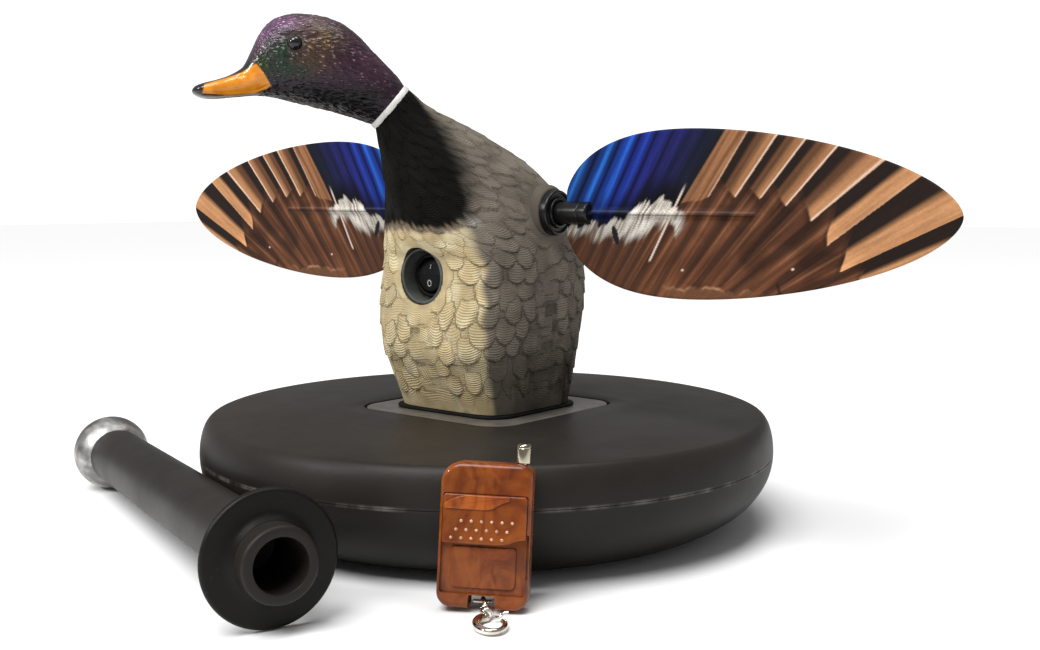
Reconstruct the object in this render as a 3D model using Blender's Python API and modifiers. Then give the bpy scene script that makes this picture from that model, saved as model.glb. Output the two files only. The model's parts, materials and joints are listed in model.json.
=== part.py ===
"""Motorised spinning-wing duck decoy on a round float, with its keel tube and its radio remote.

Frame: origin on the ground under the middle of the whole set, +Z up, the duck's breast faces -Y and
the wing shaft runs along X. Places below are in millimetres from the middle of the float's underside,
which FLOAT_MIDDLE sets; MM turns them into metres.
"""
import math

import bmesh
import bpy
from mathutils import Matrix, Vector

MM = 0.001
GAP = 0.3                                   # clearance between pieces that touch
WELD = 0.00001                              # merge distance in metres
FLOAT_MIDDLE = Vector((0.0, 35.6, 0.0))     # the float stands behind the middle of the whole set

# Float: two moulded shells joined at a seam, a square deck plate and a sleeve through the middle
FLOAT_R = 150.0
SEAM_Z = 37.5
RIM_R = 143.0
RIM_Z = 55.8
CROWN_Z = 58.2
BASE_R = 102.0
WALL = 3.0
PLATE_HALF = 49.5
PLATE_CORNER = 14.0
PLATE_TOP = 57.9
PLATE_THICK = 3.0
POCKET_GAP = 1.3
SLEEVE_R = 19.0
SOCKET_R = 16.2
PEG_R = 10.7

# Body: foot, shoulders and the tilted plane of the white neck ring
FOOT_Z = 59.7
FOOT_HALF_X = 36.3
FOOT_HALF_Y = 34.3
SHELL_WALL = 2.2
NECK_CENTRE = Vector((-15.2, -55.9, 212.5))
NECK_YAW = 38.0
NECK_TILT = 49.4
NECK_R = 12.4
RING_HALF = 1.0

# Wing drive
SHAFT_Z = 160.3
SHAFT_R = 2.5
HUB_R = 5.6
HUB_START = 43.8
HUB_END = 67.8
BEZEL_FACE = 47.2
WING_ROOT = 51.3
WING_WIDE = 120.0
WING_TIP = 251.8
WING_CHORD = 39.6
WING_THICK = 1.2
ROD_R = 1.3
ROD_END = 158.0

# Breast switch
SWITCH_Z = 129.0
SWITCH_FRONT = -50.0
SWITCH_HOLE_R = 14.3

# Keel: a ball weight and a flanged tube that lies beside the float
BALL_CENTRE = Vector((-203.6, -98.4, 20.7))
BALL_R = 20.7
FLANGE_CENTRE = Vector((55.8, -194.3, 28.3))
FLANGE_R = 28.3
KEEL_TUBE_R = 15.0
KEEL_COLLAR_R = 15.7
KEEL_BORE_R = 11.2

# Remote, in its own frame: X across, Y through its thickness (front face at -Y), Z along its height
REMOTE_PLACE = Vector((102.1, -119.8, 0.3))
REMOTE_YAW = 32.3
REMOTE_LEAN = 8.0
REMOTE_ROLL = 1.6
REMOTE_W = 38.0
REMOTE_H = 59.5
REMOTE_T = 11.6
REMOTE_SPLIT = -5.6
COVER_LOW = 26.3
COVER_HIGH = 46.5

PALETTE = {
    "float_plastic": ((0.040, 0.038, 0.036), 0.55, 0.0),
    "deck_plastic": ((0.42, 0.40, 0.37), 0.50, 0.0),
    "body_paint": ((0.47, 0.43, 0.34), 0.75, 0.0),
    "head_paint": ((0.10, 0.05, 0.09), 0.30, 0.1),
    "white_paint": ((0.80, 0.80, 0.78), 0.55, 0.0),
    "eye_glass": ((0.01, 0.01, 0.01), 0.05, 0.0),
    "black_plastic": ((0.018, 0.018, 0.018), 0.35, 0.0),
    "black_rubber": ((0.020, 0.020, 0.020), 0.80, 0.0),
    "wing_print": ((0.30, 0.16, 0.09), 0.45, 0.0),
    "steel": ((0.55, 0.55, 0.56), 0.30, 1.0),
    "brass": ((0.65, 0.48, 0.22), 0.35, 1.0),
    "zinc": ((0.56, 0.55, 0.54), 0.40, 1.0),
    "chrome": ((0.78, 0.75, 0.70), 0.12, 1.0),
    "wood_finish": ((0.32, 0.10, 0.025), 0.18, 0.0),
    "circuit": ((0.02, 0.16, 0.07), 0.45, 0.0),
    "grey_plastic": ((0.16, 0.17, 0.16), 0.55, 0.0),
    "cell_wrap": ((0.55, 0.42, 0.10), 0.35, 0.2),
    "red_rubber": ((0.45, 0.03, 0.02), 0.50, 0.0),
}


def clear_scene():
    for old in list(bpy.data.objects):
        bpy.data.objects.remove(old, do_unlink=True)


def new_collection(name):
    made = bpy.data.collections.new(name)
    bpy.context.scene.collection.children.link(made)
    return made


def make_material(name):
    colour, roughness, metallic = PALETTE[name]
    made = bpy.data.materials.new(name)
    made.use_nodes = True
    shader = made.node_tree.nodes["Principled BSDF"]
    shader.inputs["Base Color"].default_value = (*colour, 1.0)
    shader.inputs["Roughness"].default_value = roughness
    shader.inputs["Metallic"].default_value = metallic
    return made


clear_scene()
PARTS = new_collection("spinning_wing_decoy")
CUTTERS = new_collection("cutters")
MATERIALS = {name: make_material(name) for name in PALETTE}


# Placing objects --------------------------------------------------------------------------------

def set_down(place, parent):
    """Location in metres of a place in mm, which a parent's frame or the float's middle carries."""
    return (Vector(place) if parent else Vector(place) + FLOAT_MIDDLE) * MM


def add_object(name, data, finish=None, place=(0, 0, 0), turn=(0, 0, 0), parent=None):
    """Links an object; place is in mm, turn in degrees. No finish makes it a cutter."""
    made = bpy.data.objects.new(name, data)
    made.location = set_down(place, parent)
    made.rotation_euler = [math.radians(angle) for angle in turn]
    made.parent = parent
    if finish is None:
        CUTTERS.objects.link(made)
        made.hide_render = True
        made.display_type = "WIRE"
    else:
        PARTS.objects.link(made)
        made.data.materials.append(MATERIALS[finish])
    return made


def add_empty(name, place, turn=(0, 0, 0), parent=None):
    made = bpy.data.objects.new(name, None)
    made.location = set_down(place, parent)
    made.rotation_euler = [math.radians(angle) for angle in turn]
    made.parent = parent
    PARTS.objects.link(made)
    return made


def mesh_from(name, build):
    """Makes a mesh from a function that fills a bmesh in millimetres."""
    work = bmesh.new()
    build(work)
    bmesh.ops.scale(work, vec=(MM, MM, MM), verts=work.verts)
    bmesh.ops.recalc_face_normals(work, faces=work.faces)
    mesh = bpy.data.meshes.new(name)
    work.to_mesh(mesh)
    work.free()
    return mesh


def smooth(target, angle=35.0):
    target.data.shade_smooth()
    target.data.set_sharp_from_angle(angle=math.radians(angle))
    return target


def round_edges(target, width, segments=2, angle=40.0):
    bevel = target.modifiers.new("round_edges", "BEVEL")
    bevel.width = width * MM
    bevel.segments = segments
    bevel.limit_method = "ANGLE"
    bevel.angle_limit = math.radians(angle)
    bevel.use_clamp_overlap = True
    return target


def cut(target, *tools):
    for tool in tools:
        change = target.modifiers.new("cut_" + tool.name, "BOOLEAN")
        change.operation = "DIFFERENCE"
        change.object = tool
    return target


def join(target, *tools):
    for tool in tools:
        change = target.modifiers.new("join_" + tool.name, "BOOLEAN")
        change.operation = "UNION"
        change.object = tool
    return target


# Shapes -----------------------------------------------------------------------------------------

def block(name, size, finish, place, turn=(0, 0, 0), parent=None, rounding=0.0):
    def build(work):
        bmesh.ops.create_cube(work, size=1.0)
        bmesh.ops.scale(work, vec=size, verts=work.verts)
    made = add_object(name, mesh_from(name, build), finish, place, turn, parent)
    if rounding:
        round_edges(made, rounding)
    return made


AXIS_TURN = {"X": Matrix.Rotation(math.pi / 2, 3, "Y"), "Y": Matrix.Rotation(math.pi / 2, 3, "X"),
             "Z": Matrix.Identity(3)}


def rod(name, radius, length, axis, finish, place, turn=(0, 0, 0), parent=None, sides=24):
    """A cylinder centred on place."""
    def build(work):
        bmesh.ops.create_cone(work, cap_ends=True, segments=sides, radius1=radius,
                              radius2=radius, depth=length)
        bmesh.ops.rotate(work, matrix=AXIS_TURN[axis], verts=work.verts)
    return smooth(add_object(name, mesh_from(name, build), finish, place, turn, parent))


def ball(name, radius, finish, place, parent=None, sides=20):
    def build(work):
        bmesh.ops.create_uvsphere(work, u_segments=sides, v_segments=sides // 2, radius=radius)
    return smooth(add_object(name, mesh_from(name, build), finish, place, parent=parent))


def turned(name, profile, finish, place=(0, 0, 0), turn=(0, 0, 0), parent=None, steps=32):
    """A profile of (radius, height) turned about Z: down the outer side, then back up the inner one.

    A profile that starts and ends on the axis makes a solid; any other one is closed into a ring.
    """
    mesh = bpy.data.meshes.new(name)
    points = [(radius * MM, 0.0, height * MM) for radius, height in profile]
    edges = [(k, k + 1) for k in range(len(points) - 1)]
    if profile[0][0] > 0:
        edges.append((len(points) - 1, 0))
    mesh.from_pydata(points, edges, [])
    made = add_object(name, mesh, finish, place, turn, parent)
    screw = made.modifiers.new("turn", "SCREW")
    screw.steps = steps
    screw.render_steps = steps
    screw.use_merge_vertices = True
    screw.merge_threshold = WELD
    screw.use_smooth_shade = True
    return made


def slab(name, outline, low, high, finish, place=(0, 0, 0), turn=(0, 0, 0), parent=None):
    """A flat outline of (x, y) points, filled and given thickness from z=low to z=high, as a mesh."""
    def build(work):
        face = work.faces.new([work.verts.new((x, y, low)) for x, y in outline])
        grown = bmesh.ops.extrude_face_region(work, geom=[face])
        moved = [item for item in grown["geom"] if isinstance(item, bmesh.types.BMVert)]
        bmesh.ops.translate(work, vec=(0, 0, high - low), verts=moved)
    return add_object(name, mesh_from(name, build), finish, place, turn, parent)


def rounded_outline(half_x, half_y, radius, steps=6, centre=(0, 0), radii=None):
    """Corner arcs of a rectangle, anticlockwise from +X +Y; radii may give the four corners."""
    corners = radii or [radius] * 4
    signs = [(1, 1), (-1, 1), (-1, -1), (1, -1)]
    points = []
    for index, ((sx, sy), r) in enumerate(zip(signs, corners)):
        cx = centre[0] + sx * (half_x - r)
        cy = centre[1] + sy * (half_y - r)
        for step in range(steps + 1):
            angle = math.pi / 2 * (index + step / steps)
            points.append((cx + r * math.cos(angle), cy + r * math.sin(angle)))
    return points


def wire(name, points, radius, finish, parent=None, cyclic=False, detail=2):
    """A round wire along points given in mm."""
    curve = bpy.data.curves.new(name, "CURVE")
    curve.dimensions = "3D"
    curve.bevel_depth = radius * MM
    curve.bevel_resolution = detail
    curve.use_fill_caps = not cyclic
    line = curve.splines.new("POLY")
    line.points.add(len(points) - 1)
    for item, point in zip(line.points, points):
        item.co = (*(Vector(point) * MM), 1.0)
    line.use_cyclic_u = cyclic
    return add_object(name, curve, finish, parent=parent)


def smooth_path(points, count):
    """Catmull-Rom curve through points, as count + 1 points."""
    spots = [Vector(p) for p in points]
    ends = [2 * spots[0] - spots[1], *spots, 2 * spots[-1] - spots[-2]]
    path = []
    for step in range(count + 1):
        at = step / count * (len(spots) - 1)
        k = min(int(at), len(spots) - 2)
        path.append(blend_four(ends[k:k + 4], at - k))
    return path


def blend_four(four, t):
    p0, p1, p2, p3 = four
    return 0.5 * ((2 * p1) + (p2 - p0) * t + (2 * p0 - 5 * p1 + 4 * p2 - p3) * t * t
                  + (3 * p1 - p0 - 3 * p2 + p3) * t ** 3)


def power_round(angle, power):
    """A point on the unit superellipse at this angle."""
    c = math.cos(angle)
    s = math.sin(angle)
    return (math.copysign(abs(c) ** (2 / power), c), math.copysign(abs(s) ** (2 / power), s))


def loft(name, rings, finish, cap=False):
    """Skins rings of points; the ends stay open unless capped."""
    def build(work):
        rows = [[work.verts.new(point) for point in ring] for ring in rings]
        count = len(rows[0])
        for lower, upper in zip(rows, rows[1:]):
            for k in range(count):
                n = (k + 1) % count
                work.faces.new((lower[k], lower[n], upper[n], upper[k]))
        if cap:
            work.faces.new(list(reversed(rows[0])))
            work.faces.new(rows[-1])
    mesh = mesh_from(name, build)
    return smooth(add_object(name, mesh, finish), 60)


# Float ------------------------------------------------------------------------------------------

def quarter(centre_r, centre_z, reach, rise, steps, down):
    """Quarter ellipse from its top to its widest point, or from there to its bottom."""
    points = []
    for step in range(steps + 1):
        angle = math.pi / 2 * step / steps
        if down:
            points.append((centre_r + reach * math.cos(angle), centre_z - rise * math.sin(angle)))
        else:
            points.append((centre_r + reach * math.sin(angle), centre_z + rise * math.cos(angle)))
    return points


def make_float():
    half_seam = GAP / 2
    rim = quarter(RIM_R, SEAM_Z + half_seam, FLOAT_R - RIM_R, RIM_Z - SEAM_Z - half_seam, 4, False)
    inner_rim = quarter(RIM_R - WALL, SEAM_Z + half_seam, FLOAT_R - RIM_R,
                        RIM_Z - SEAM_Z - half_seam - WALL, 3, False)
    crown_under = PLATE_TOP - PLATE_THICK - GAP - WALL
    top = [(PEG_R + 1.3, CROWN_Z), (60.0, CROWN_Z), (105.0, CROWN_Z - 0.9)] + rim
    under = list(reversed(inner_rim)) + [(80.0, crown_under), (PEG_R + 1.3, crown_under)]
    upper = turned("float_upper_shell", top + under, "float_plastic", steps=44)
    pocket_outline = rounded_outline(PLATE_HALF + POCKET_GAP, PLATE_HALF + POCKET_GAP,
                                     PLATE_CORNER + POCKET_GAP)
    floor = PLATE_TOP - PLATE_THICK - GAP
    cut(upper, slab("deck_pocket_cutter", pocket_outline, floor, CROWN_Z + 2, None))

    bowl = quarter(BASE_R, SEAM_Z - half_seam, FLOAT_R - BASE_R, SEAM_Z - half_seam, 6, True)
    inside = quarter(BASE_R - 1, SEAM_Z - half_seam, FLOAT_R - BASE_R - WALL + 1,
                     SEAM_Z - half_seam - WALL, 5, True)
    hole = SLEEVE_R + GAP
    turned("float_lower_shell", bowl + [(hole, 0.0), (hole, WALL)] + list(reversed(inside)),
           "float_plastic", steps=44)

    sleeve = [(PEG_R + 0.4, crown_under - GAP), (SLEEVE_R, crown_under - GAP), (SLEEVE_R, 1.0),
              (SOCKET_R, 1.0), (SOCKET_R, 27.0), (PEG_R + 0.4, 27.0)]
    turned("keel_socket", sleeve, "black_plastic", steps=30)

    plate = slab("deck_plate", rounded_outline(PLATE_HALF, PLATE_HALF, PLATE_CORNER),
                 PLATE_TOP - PLATE_THICK, PLATE_TOP, "deck_plastic")
    cut(plate, rod("deck_hole_cutter", PEG_R + GAP, 20, "Z", None, (0, 0, PLATE_TOP), sides=32))
    round_edges(plate, 0.6, 1, 60)


# Body -------------------------------------------------------------------------------------------

def tilted_axes(yaw, tilt):
    """Side, back and normal directions of a section turned to the duck's right and tipped forward."""
    y = math.radians(yaw)
    t = math.radians(tilt)
    normal = Vector((-math.sin(t) * math.sin(y), -math.sin(t) * math.cos(y), math.cos(t)))
    side = Vector((math.cos(y), -math.sin(y), 0.0))
    return side, normal.cross(side), normal


# Each section: centre, yaw and tilt of its plane, half width, half depth, squareness
BODY_SECTIONS = [
    ((0.0, -1.5, FOOT_Z), 0, 0, FOOT_HALF_X, FOOT_HALF_Y, 5.0),
    ((0.0, -2.2, 68.0), 0, 0, 37.8, 37.0, 4.5),
    ((0.0, -3.6, 79.0), 0, 0, 40.2, 41.0, 4.0),
    ((0.0, -5.0, 92.0), 0, 0, 43.0, 45.3, 3.6),
    ((0.0, -4.0, 110.0), 0, 0, 44.5, 47.5, 3.5),
    ((0.0, -2.8, 126.0), 0, 1, 44.5, 47.6, 3.4),
    ((0.0, -4.0, 142.0), 0, 7, 44.0, 46.8, 3.1),
    ((-0.5, -11.5, 155.5), 5, 18, 42.0, 43.5, 2.8),
    ((-2.0, -22.5, 168.5), 12, 30, 37.5, 37.5, 2.5),
    ((-6.5, -37.5, 185.0), 24, 41, 28.0, 27.0, 2.2),
    ((-11.7, -49.0, 200.5), 33, 47, 17.5, 17.2, 2.05),
]


def body_rings(per_gap, around):
    side, back, normal = tilted_axes(NECK_YAW, NECK_TILT)
    end = NECK_CENTRE - normal * (RING_HALF + GAP)
    sections = BODY_SECTIONS + [(tuple(end), NECK_YAW, NECK_TILT, NECK_R, NECK_R, 2.0)]
    values = [Vector((*centre, yaw, tilt, a, b, power)) for centre, yaw, tilt, a, b, power in sections]
    padded = [2 * values[0] - values[1], *values, 2 * values[-1] - values[-2]]
    rings = []
    for gap in range(len(values) - 1):
        for step in range(per_gap + (gap == len(values) - 2)):
            row = blend_four(padded[gap:gap + 4], step / per_gap)
            side, back, normal = tilted_axes(row[3], row[4])
            ring = []
            for k in range(around):
                across, along = power_round(2 * math.pi * k / around, row[7])
                ring.append(Vector(row[:3]) + side * (row[5] * across) + back * (row[6] * along))
            rings.append(ring)
    return rings


def make_body():
    shell = loft("body_shell", body_rings(1, 28), "body_paint")
    wall = shell.modifiers.new("wall", "SOLIDIFY")
    wall.thickness = SHELL_WALL * MM
    wall.offset = -1.0
    for name, sign in (("left", 1), ("right", -1)):
        seat = rod("bezel_seat_" + name, 14.4, 7.5, "X", None, (sign * 41.3, 0, SHAFT_Z), sides=28)
        join(shell, seat)
    for name, sign in (("left", 1), ("right", -1)):
        cut(shell, rod("bezel_hole_" + name, 9.9, 30, "X", None, (sign * 40, 0, SHAFT_Z), sides=28))
    cut(shell, rod("switch_hole", SWITCH_HOLE_R, 24, "Y", None, (0, SWITCH_FRONT, SWITCH_Z), sides=32))

    outer = rounded_outline(FOOT_HALF_X + 1.8, FOOT_HALF_Y + 1.8, 14.0, centre=(0, -1.5))
    gasket = slab("body_gasket", outer, PLATE_TOP + GAP, FOOT_Z - GAP, "black_rubber")
    inner = rounded_outline(29.0, 27.0, 9.0, centre=(0, -1.5))
    cut(gasket, slab("gasket_hole_cutter", inner, PLATE_TOP - 2, FOOT_Z + 2, None))

    side, back, normal = tilted_axes(NECK_YAW, NECK_TILT)
    ring = [(9.0, RING_HALF), (NECK_R - 0.1, RING_HALF), (NECK_R + 0.5, RING_HALF * 0.4),
            (NECK_R + 0.5, -RING_HALF * 0.4), (NECK_R - 0.1, -RING_HALF), (9.0, -RING_HALF)]
    band = turned("neck_ring", ring, "white_paint", place=NECK_CENTRE, steps=32)
    band.rotation_mode = "QUATERNION"
    band.rotation_quaternion = Vector((0, 0, 1)).rotation_difference(normal)


# Head profile in its own upright plane: top point, bottom point (each forward, up), half width
HEAD_SECTIONS = [
    ((-4.5, 227.7), (10.5, 204.8), 13.6),
    ((1.4, 233.9), (14.5, 206.2), 15.2),
    ((7.2, 239.6), (18.0, 207.3), 16.6),
    ((13.0, 245.7), (22.5, 208.5), 17.6),
    ((21.0, 251.9), (28.0, 210.0), 18.2),
    ((31.0, 255.4), (34.5, 211.5), 18.4),
    ((41.8, 256.4), (41.8, 213.2), 18.0),
    ((50.0, 255.3), (48.0, 214.6), 16.8),
    ((56.5, 252.0), (54.0, 216.0), 14.9),
    ((61.5, 246.0), (59.0, 216.8), 12.6),
    ((65.5, 238.0), (64.0, 216.9), 10.4),
    ((68.5, 232.0), (68.0, 216.6), 8.9),
    ((71.0, 229.2), (71.2, 216.2), 8.2),
    ((76.5, 226.1), (76.8, 215.7), 8.3),
    ((82.2, 224.1), (82.4, 215.1), 8.9),
    ((87.8, 222.6), (88.0, 215.2), 8.6),
    ((91.3, 221.3), (91.3, 216.2), 6.6),
    ((93.2, 219.8), (93.2, 217.4), 3.2),
]
HEAD_ORIGIN = Vector((-16.0, -57.0, 0.0))
EYE_FORWARD = 45.2
EYE_Z = 240.7
EYE_OUT = 15.6
EYE_R = 3.4


def make_head():
    side, back, normal = tilted_axes(NECK_YAW, NECK_TILT)
    forward = Vector((-math.sin(math.radians(NECK_YAW)), -math.cos(math.radians(NECK_YAW)), 0.0))
    around = 18
    start = NECK_CENTRE + normal * (RING_HALF + GAP)
    rings = []
    for k in range(around):
        angle = 2 * math.pi * k / around
        rings.append(start + side * (NECK_R * math.cos(angle)) + back * (NECK_R * math.sin(angle)))
    rings = [rings]
    for (top_s, top_z), (low_s, low_z), half in HEAD_SECTIONS:
        top = HEAD_ORIGIN + forward * top_s + Vector((0, 0, top_z))
        low = HEAD_ORIGIN + forward * low_s + Vector((0, 0, low_z))
        middle = (top + low) / 2
        rise = (top - low) / 2
        ring = []
        for k in range(around):
            angle = 2 * math.pi * k / around
            ring.append(middle + side * (half * math.cos(angle)) + rise * math.sin(angle))
        rings.append(ring)
    head = loft("head", rings, "head_paint", cap=True)
    for name, sign in (("left", 1), ("right", -1)):
        spot = HEAD_ORIGIN + forward * EYE_FORWARD + side * (sign * EYE_OUT) + Vector((0, 0, EYE_Z))
        cut(head, ball("eye_socket_" + name, EYE_R + GAP, None, spot))
        ball("eye_" + name, EYE_R, "eye_glass", spot, sides=16)


# Inside the body --------------------------------------------------------------------------------

def make_chassis():
    base_low = FOOT_Z + 0.6
    base = slab("base_plate", rounded_outline(31.6, 29.6, 9.0, centre=(0, -1.5)),
                base_low, base_low + 2.4, "black_plastic")
    round_edges(base, 0.5, 1, 60)
    rod("mount_peg", PEG_R, base_low - GAP - 30.0, "Z", "black_plastic",
        (0, 0, (base_low - GAP + 30.0) / 2), sides=32)

    floor = base_low + 2.4 + GAP
    box_low = floor + 0.4
    box = block("battery_box", (55.0, 34.5, 32.0), "black_plastic", (0, 8.75, box_low + 16.0))
    cut(box, block("battery_box_cutter", (52.0, 31.5, 32.0), None, (0, 8.75, box_low + 17.5)))
    for index in range(4):
        row, layer = index % 2, index // 2
        rod("cell_%d" % (index + 1), 7.1, 50.0, "X", "cell_wrap",
            (0, 1.1 + 15.3 * row, box_low + 1.5 + GAP + 7.1 + 14.8 * layer), sides=20)

    block("receiver_board", (36.0, 20.0, 1.6), "circuit", (0, -22.0, floor + 3.0))
    block("receiver_relay", (15.0, 12.0, 11.0), "black_plastic", (-8.0, -22.0, floor + 9.7),
          rounding=0.4)
    aerial = [(13, -22, floor + 4.2), (13.5, -23, floor + 20), (16, -27, 105), (17, -25, 120),
              (15, -20, 135)]
    wire("receiver_aerial", smooth_path(aerial, 14), 0.6, "black_rubber")

    cradle_low = 144.3
    for name, sign in (("left", 1), ("right", -1)):
        post_top = cradle_low - GAP
        rod("frame_post_" + name, 2.2, post_top - floor, "Z", "steel",
            (sign * 30.6, 8.0, (post_top + floor) / 2), sides=16)
    cradle = block("motor_cradle", (67.0, 44.0, 3.0), "black_plastic", (0, 0, cradle_low + 1.5))
    cheek = block("cradle_saddle", (24.0, 26.0, 9.0), None, (0, 0, cradle_low + 6.5))
    join(cradle, cheek)
    cut(cradle, rod("cradle_seat_cutter", 12.8, 70, "X", None, (0, 0, SHAFT_Z), sides=40))


def make_motor():
    turned("motor_can", [(SHAFT_R + 0.4, 16.0), (12.5, 16.0), (12.5, -16.0), (SHAFT_R + 0.4, -16.0)],
           "steel", (0, 0, SHAFT_Z), (0, 90, 0), steps=24)
    turned("motor_end_cap", [(SHAFT_R + 0.4, 1.7), (11.6, 1.7), (11.6, -1.7), (SHAFT_R + 0.4, -1.7)],
           "red_rubber", (-18.0, 0, SHAFT_Z), (0, 90, 0), steps=24)
    turned("gearbox_housing", [(SHAFT_R + 0.4, 5.0), (11.4, 5.0), (12.4, 4.0), (12.4, -5.0),
                               (SHAFT_R + 0.4, -5.0)],
           "grey_plastic", (21.3, 0, SHAFT_Z), (0, 90, 0), steps=24)
    slab("motor_strap", strap_outline(12.8, 14.4, 21.0), -5.0, 5.0, "steel",
         (0, 0, SHAFT_Z), (90, 0, 90))
    lead = [(-20.8, 6, 165), (-23, 17, 162), (-21, 26.5, 148), (-20, 26, 136), (-22, 12, 120),
            (-23, -12, 100), (-20, -21, 82), (-17.2, -22, 68.4)]
    wire("motor_lead", smooth_path(lead, 20), 0.9, "red_rubber")


def strap_outline(inner, outer, reach):
    """Half ring over the motor with a flat foot on each side, down to the cradle's height."""
    foot = 147.6 - SHAFT_Z
    points = []
    for step in range(13):
        angle = math.pi * step / 12
        points.append((outer * math.cos(angle), outer * math.sin(angle)))
    points += [(-outer, foot + 1.6), (-reach, foot + 1.6), (-reach, foot), (-inner - 0.6, foot)]
    points.append((-inner - 0.6, 0.0))
    for step in range(13):
        angle = math.pi - math.pi * step / 12
        points.append(((inner + 0.3) * math.cos(angle), (inner + 0.3) * math.sin(angle)))
    points += [(inner + 0.6, 0.0), (inner + 0.6, foot), (reach, foot), (reach, foot + 1.6),
               (outer, foot + 1.6)]
    return points


# Wing drive and wings ---------------------------------------------------------------------------

def wing_outline(steps=22):
    """Egg-shaped blade outline as (distance from the duck's middle, height), open at the hub slot."""
    slot = HUB_R + 0.8
    slot_end = HUB_END + 0.9

    def half_chord(s):
        if s < WING_WIDE:
            t = (WING_WIDE - s) / (WING_WIDE - WING_ROOT)
            return WING_CHORD * max(0.0, 1 - t ** 2.3) ** (1 / 2.3)
        t = (s - WING_WIDE) / (WING_TIP - WING_WIDE)
        return WING_CHORD * max(0.0, 1 - t ** 1.75) ** (1 / 1.75)

    root = WING_ROOT + 0.6
    spots = [root + (WING_TIP - root) * (1 - math.cos(math.pi * k / steps)) / 2
             for k in range(steps + 1)]
    upper = [(s, half_chord(s)) for s in spots if half_chord(s) > slot + 0.5]
    lower = [(s, -h) for s, h in reversed(upper)]
    tip = [(WING_TIP, 0.0)]
    notch = [(WING_ROOT + 1.2, -slot), (slot_end, -slot), (slot_end, slot), (WING_ROOT + 1.2, slot)]
    return upper + tip + lower + notch


def make_drive():
    rod("drive_shaft", SHAFT_R, 2 * 57.2, "X", "steel", (0, 0, SHAFT_Z), sides=16)
    for name, sign in (("left", 1), ("right", -1)):
        spin = (0, 90 * sign, 0)
        bezel = [(6.5, BEZEL_FACE + 1.8), (10.3, BEZEL_FACE + 1.8), (10.5, BEZEL_FACE),
                 (13.0, BEZEL_FACE), (13.0, 45.4), (9.5, 45.4), (9.5, 38.0), (8.2, 38.0),
                 (8.2, 43.6), (6.5, 43.6)]
        turned("shaft_bezel_" + name, bezel, "black_plastic", (0, 0, SHAFT_Z), spin, steps=22)
        turned("shaft_bearing_" + name, [(SHAFT_R + 0.3, 43.0), (7.9, 43.0), (7.9, 38.2),
                                         (SHAFT_R + 0.3, 38.2)],
               "brass", (0, 0, SHAFT_Z), spin, steps=20)
        hub = [(ROD_R + 0.3, HUB_END), (4.9, HUB_END), (HUB_R, HUB_END - 0.7), (HUB_R, HUB_START),
               (SHAFT_R + 0.3, HUB_START), (SHAFT_R + 0.3, 57.6), (ROD_R + 0.3, 57.6)]
        turned("wing_hub_" + name, hub, "black_plastic", (0, 0, SHAFT_Z), spin, steps=24)
        make_wing(name, sign)


def make_wing(name, sign):
    outline = [(sign * s, h) for s, h in wing_outline()]
    half = WING_THICK / 2
    blade = slab("wing_blade_" + name, outline, -half, half, "wing_print", (0, 0, SHAFT_Z), (90, 0, 0))
    start = HUB_END + 1.2
    length = ROD_END + 2.5 - start
    ridge = rod("rod_ridge_" + name, 2.5, length, "X", None,
                (sign * (start + length / 2), 0, SHAFT_Z), sides=16)
    bore = rod("rod_bore_" + name, ROD_R + 0.3, ROD_END + 0.6 - 40, "X", None,
               (sign * (ROD_END + 0.6 + 40) / 2, 0, SHAFT_Z), sides=12)
    join(blade, ridge)
    cut(blade, bore)
    rod("wing_rod_" + name, ROD_R, ROD_END - 58.2, "X", "steel",
        (sign * (ROD_END + 58.2) / 2, 0, SHAFT_Z), sides=12)


# Breast switch ----------------------------------------------------------------------------------

def make_switch():
    place = (0, SWITCH_FRONT, SWITCH_Z)
    facing = (90, 0, 0)
    cup_r = SWITCH_HOLE_R - GAP
    cup = [(12.6, 0.0), (cup_r, 0.0), (cup_r, -10.6), (10.3, -10.6), (10.3, -9.1), (12.6, -9.1)]
    turned("switch_cup", cup, "grey_plastic", place, facing, steps=32)
    body = [(9.2, -6.2), (10.6, -6.2), (11.3, -6.9), (11.3, -8.8), (10.0, -8.8), (10.0, -26.0),
            (7.0, -26.0), (7.0, -14.0), (9.2, -14.0)]
    turned("switch_body", body, "black_plastic", place, facing, steps=24)
    pivot = add_empty("switch_axis", (0, SWITCH_FRONT + 8.6, SWITCH_Z), (-7, 0, 0))
    rocker = rod("switch_rocker", 8.4, 7.0, "Y", "black_plastic", (0, 0, 0), parent=pivot, sides=32)
    for name, sign in (("top", 1), ("bottom", -1)):
        cut(rocker, block("rocker_slope_" + name, (30, 10, 30), None, (0, -7.9, sign * 14.7),
                          (-sign * 8, 0, 0), pivot))


# Keel -------------------------------------------------------------------------------------------

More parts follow.
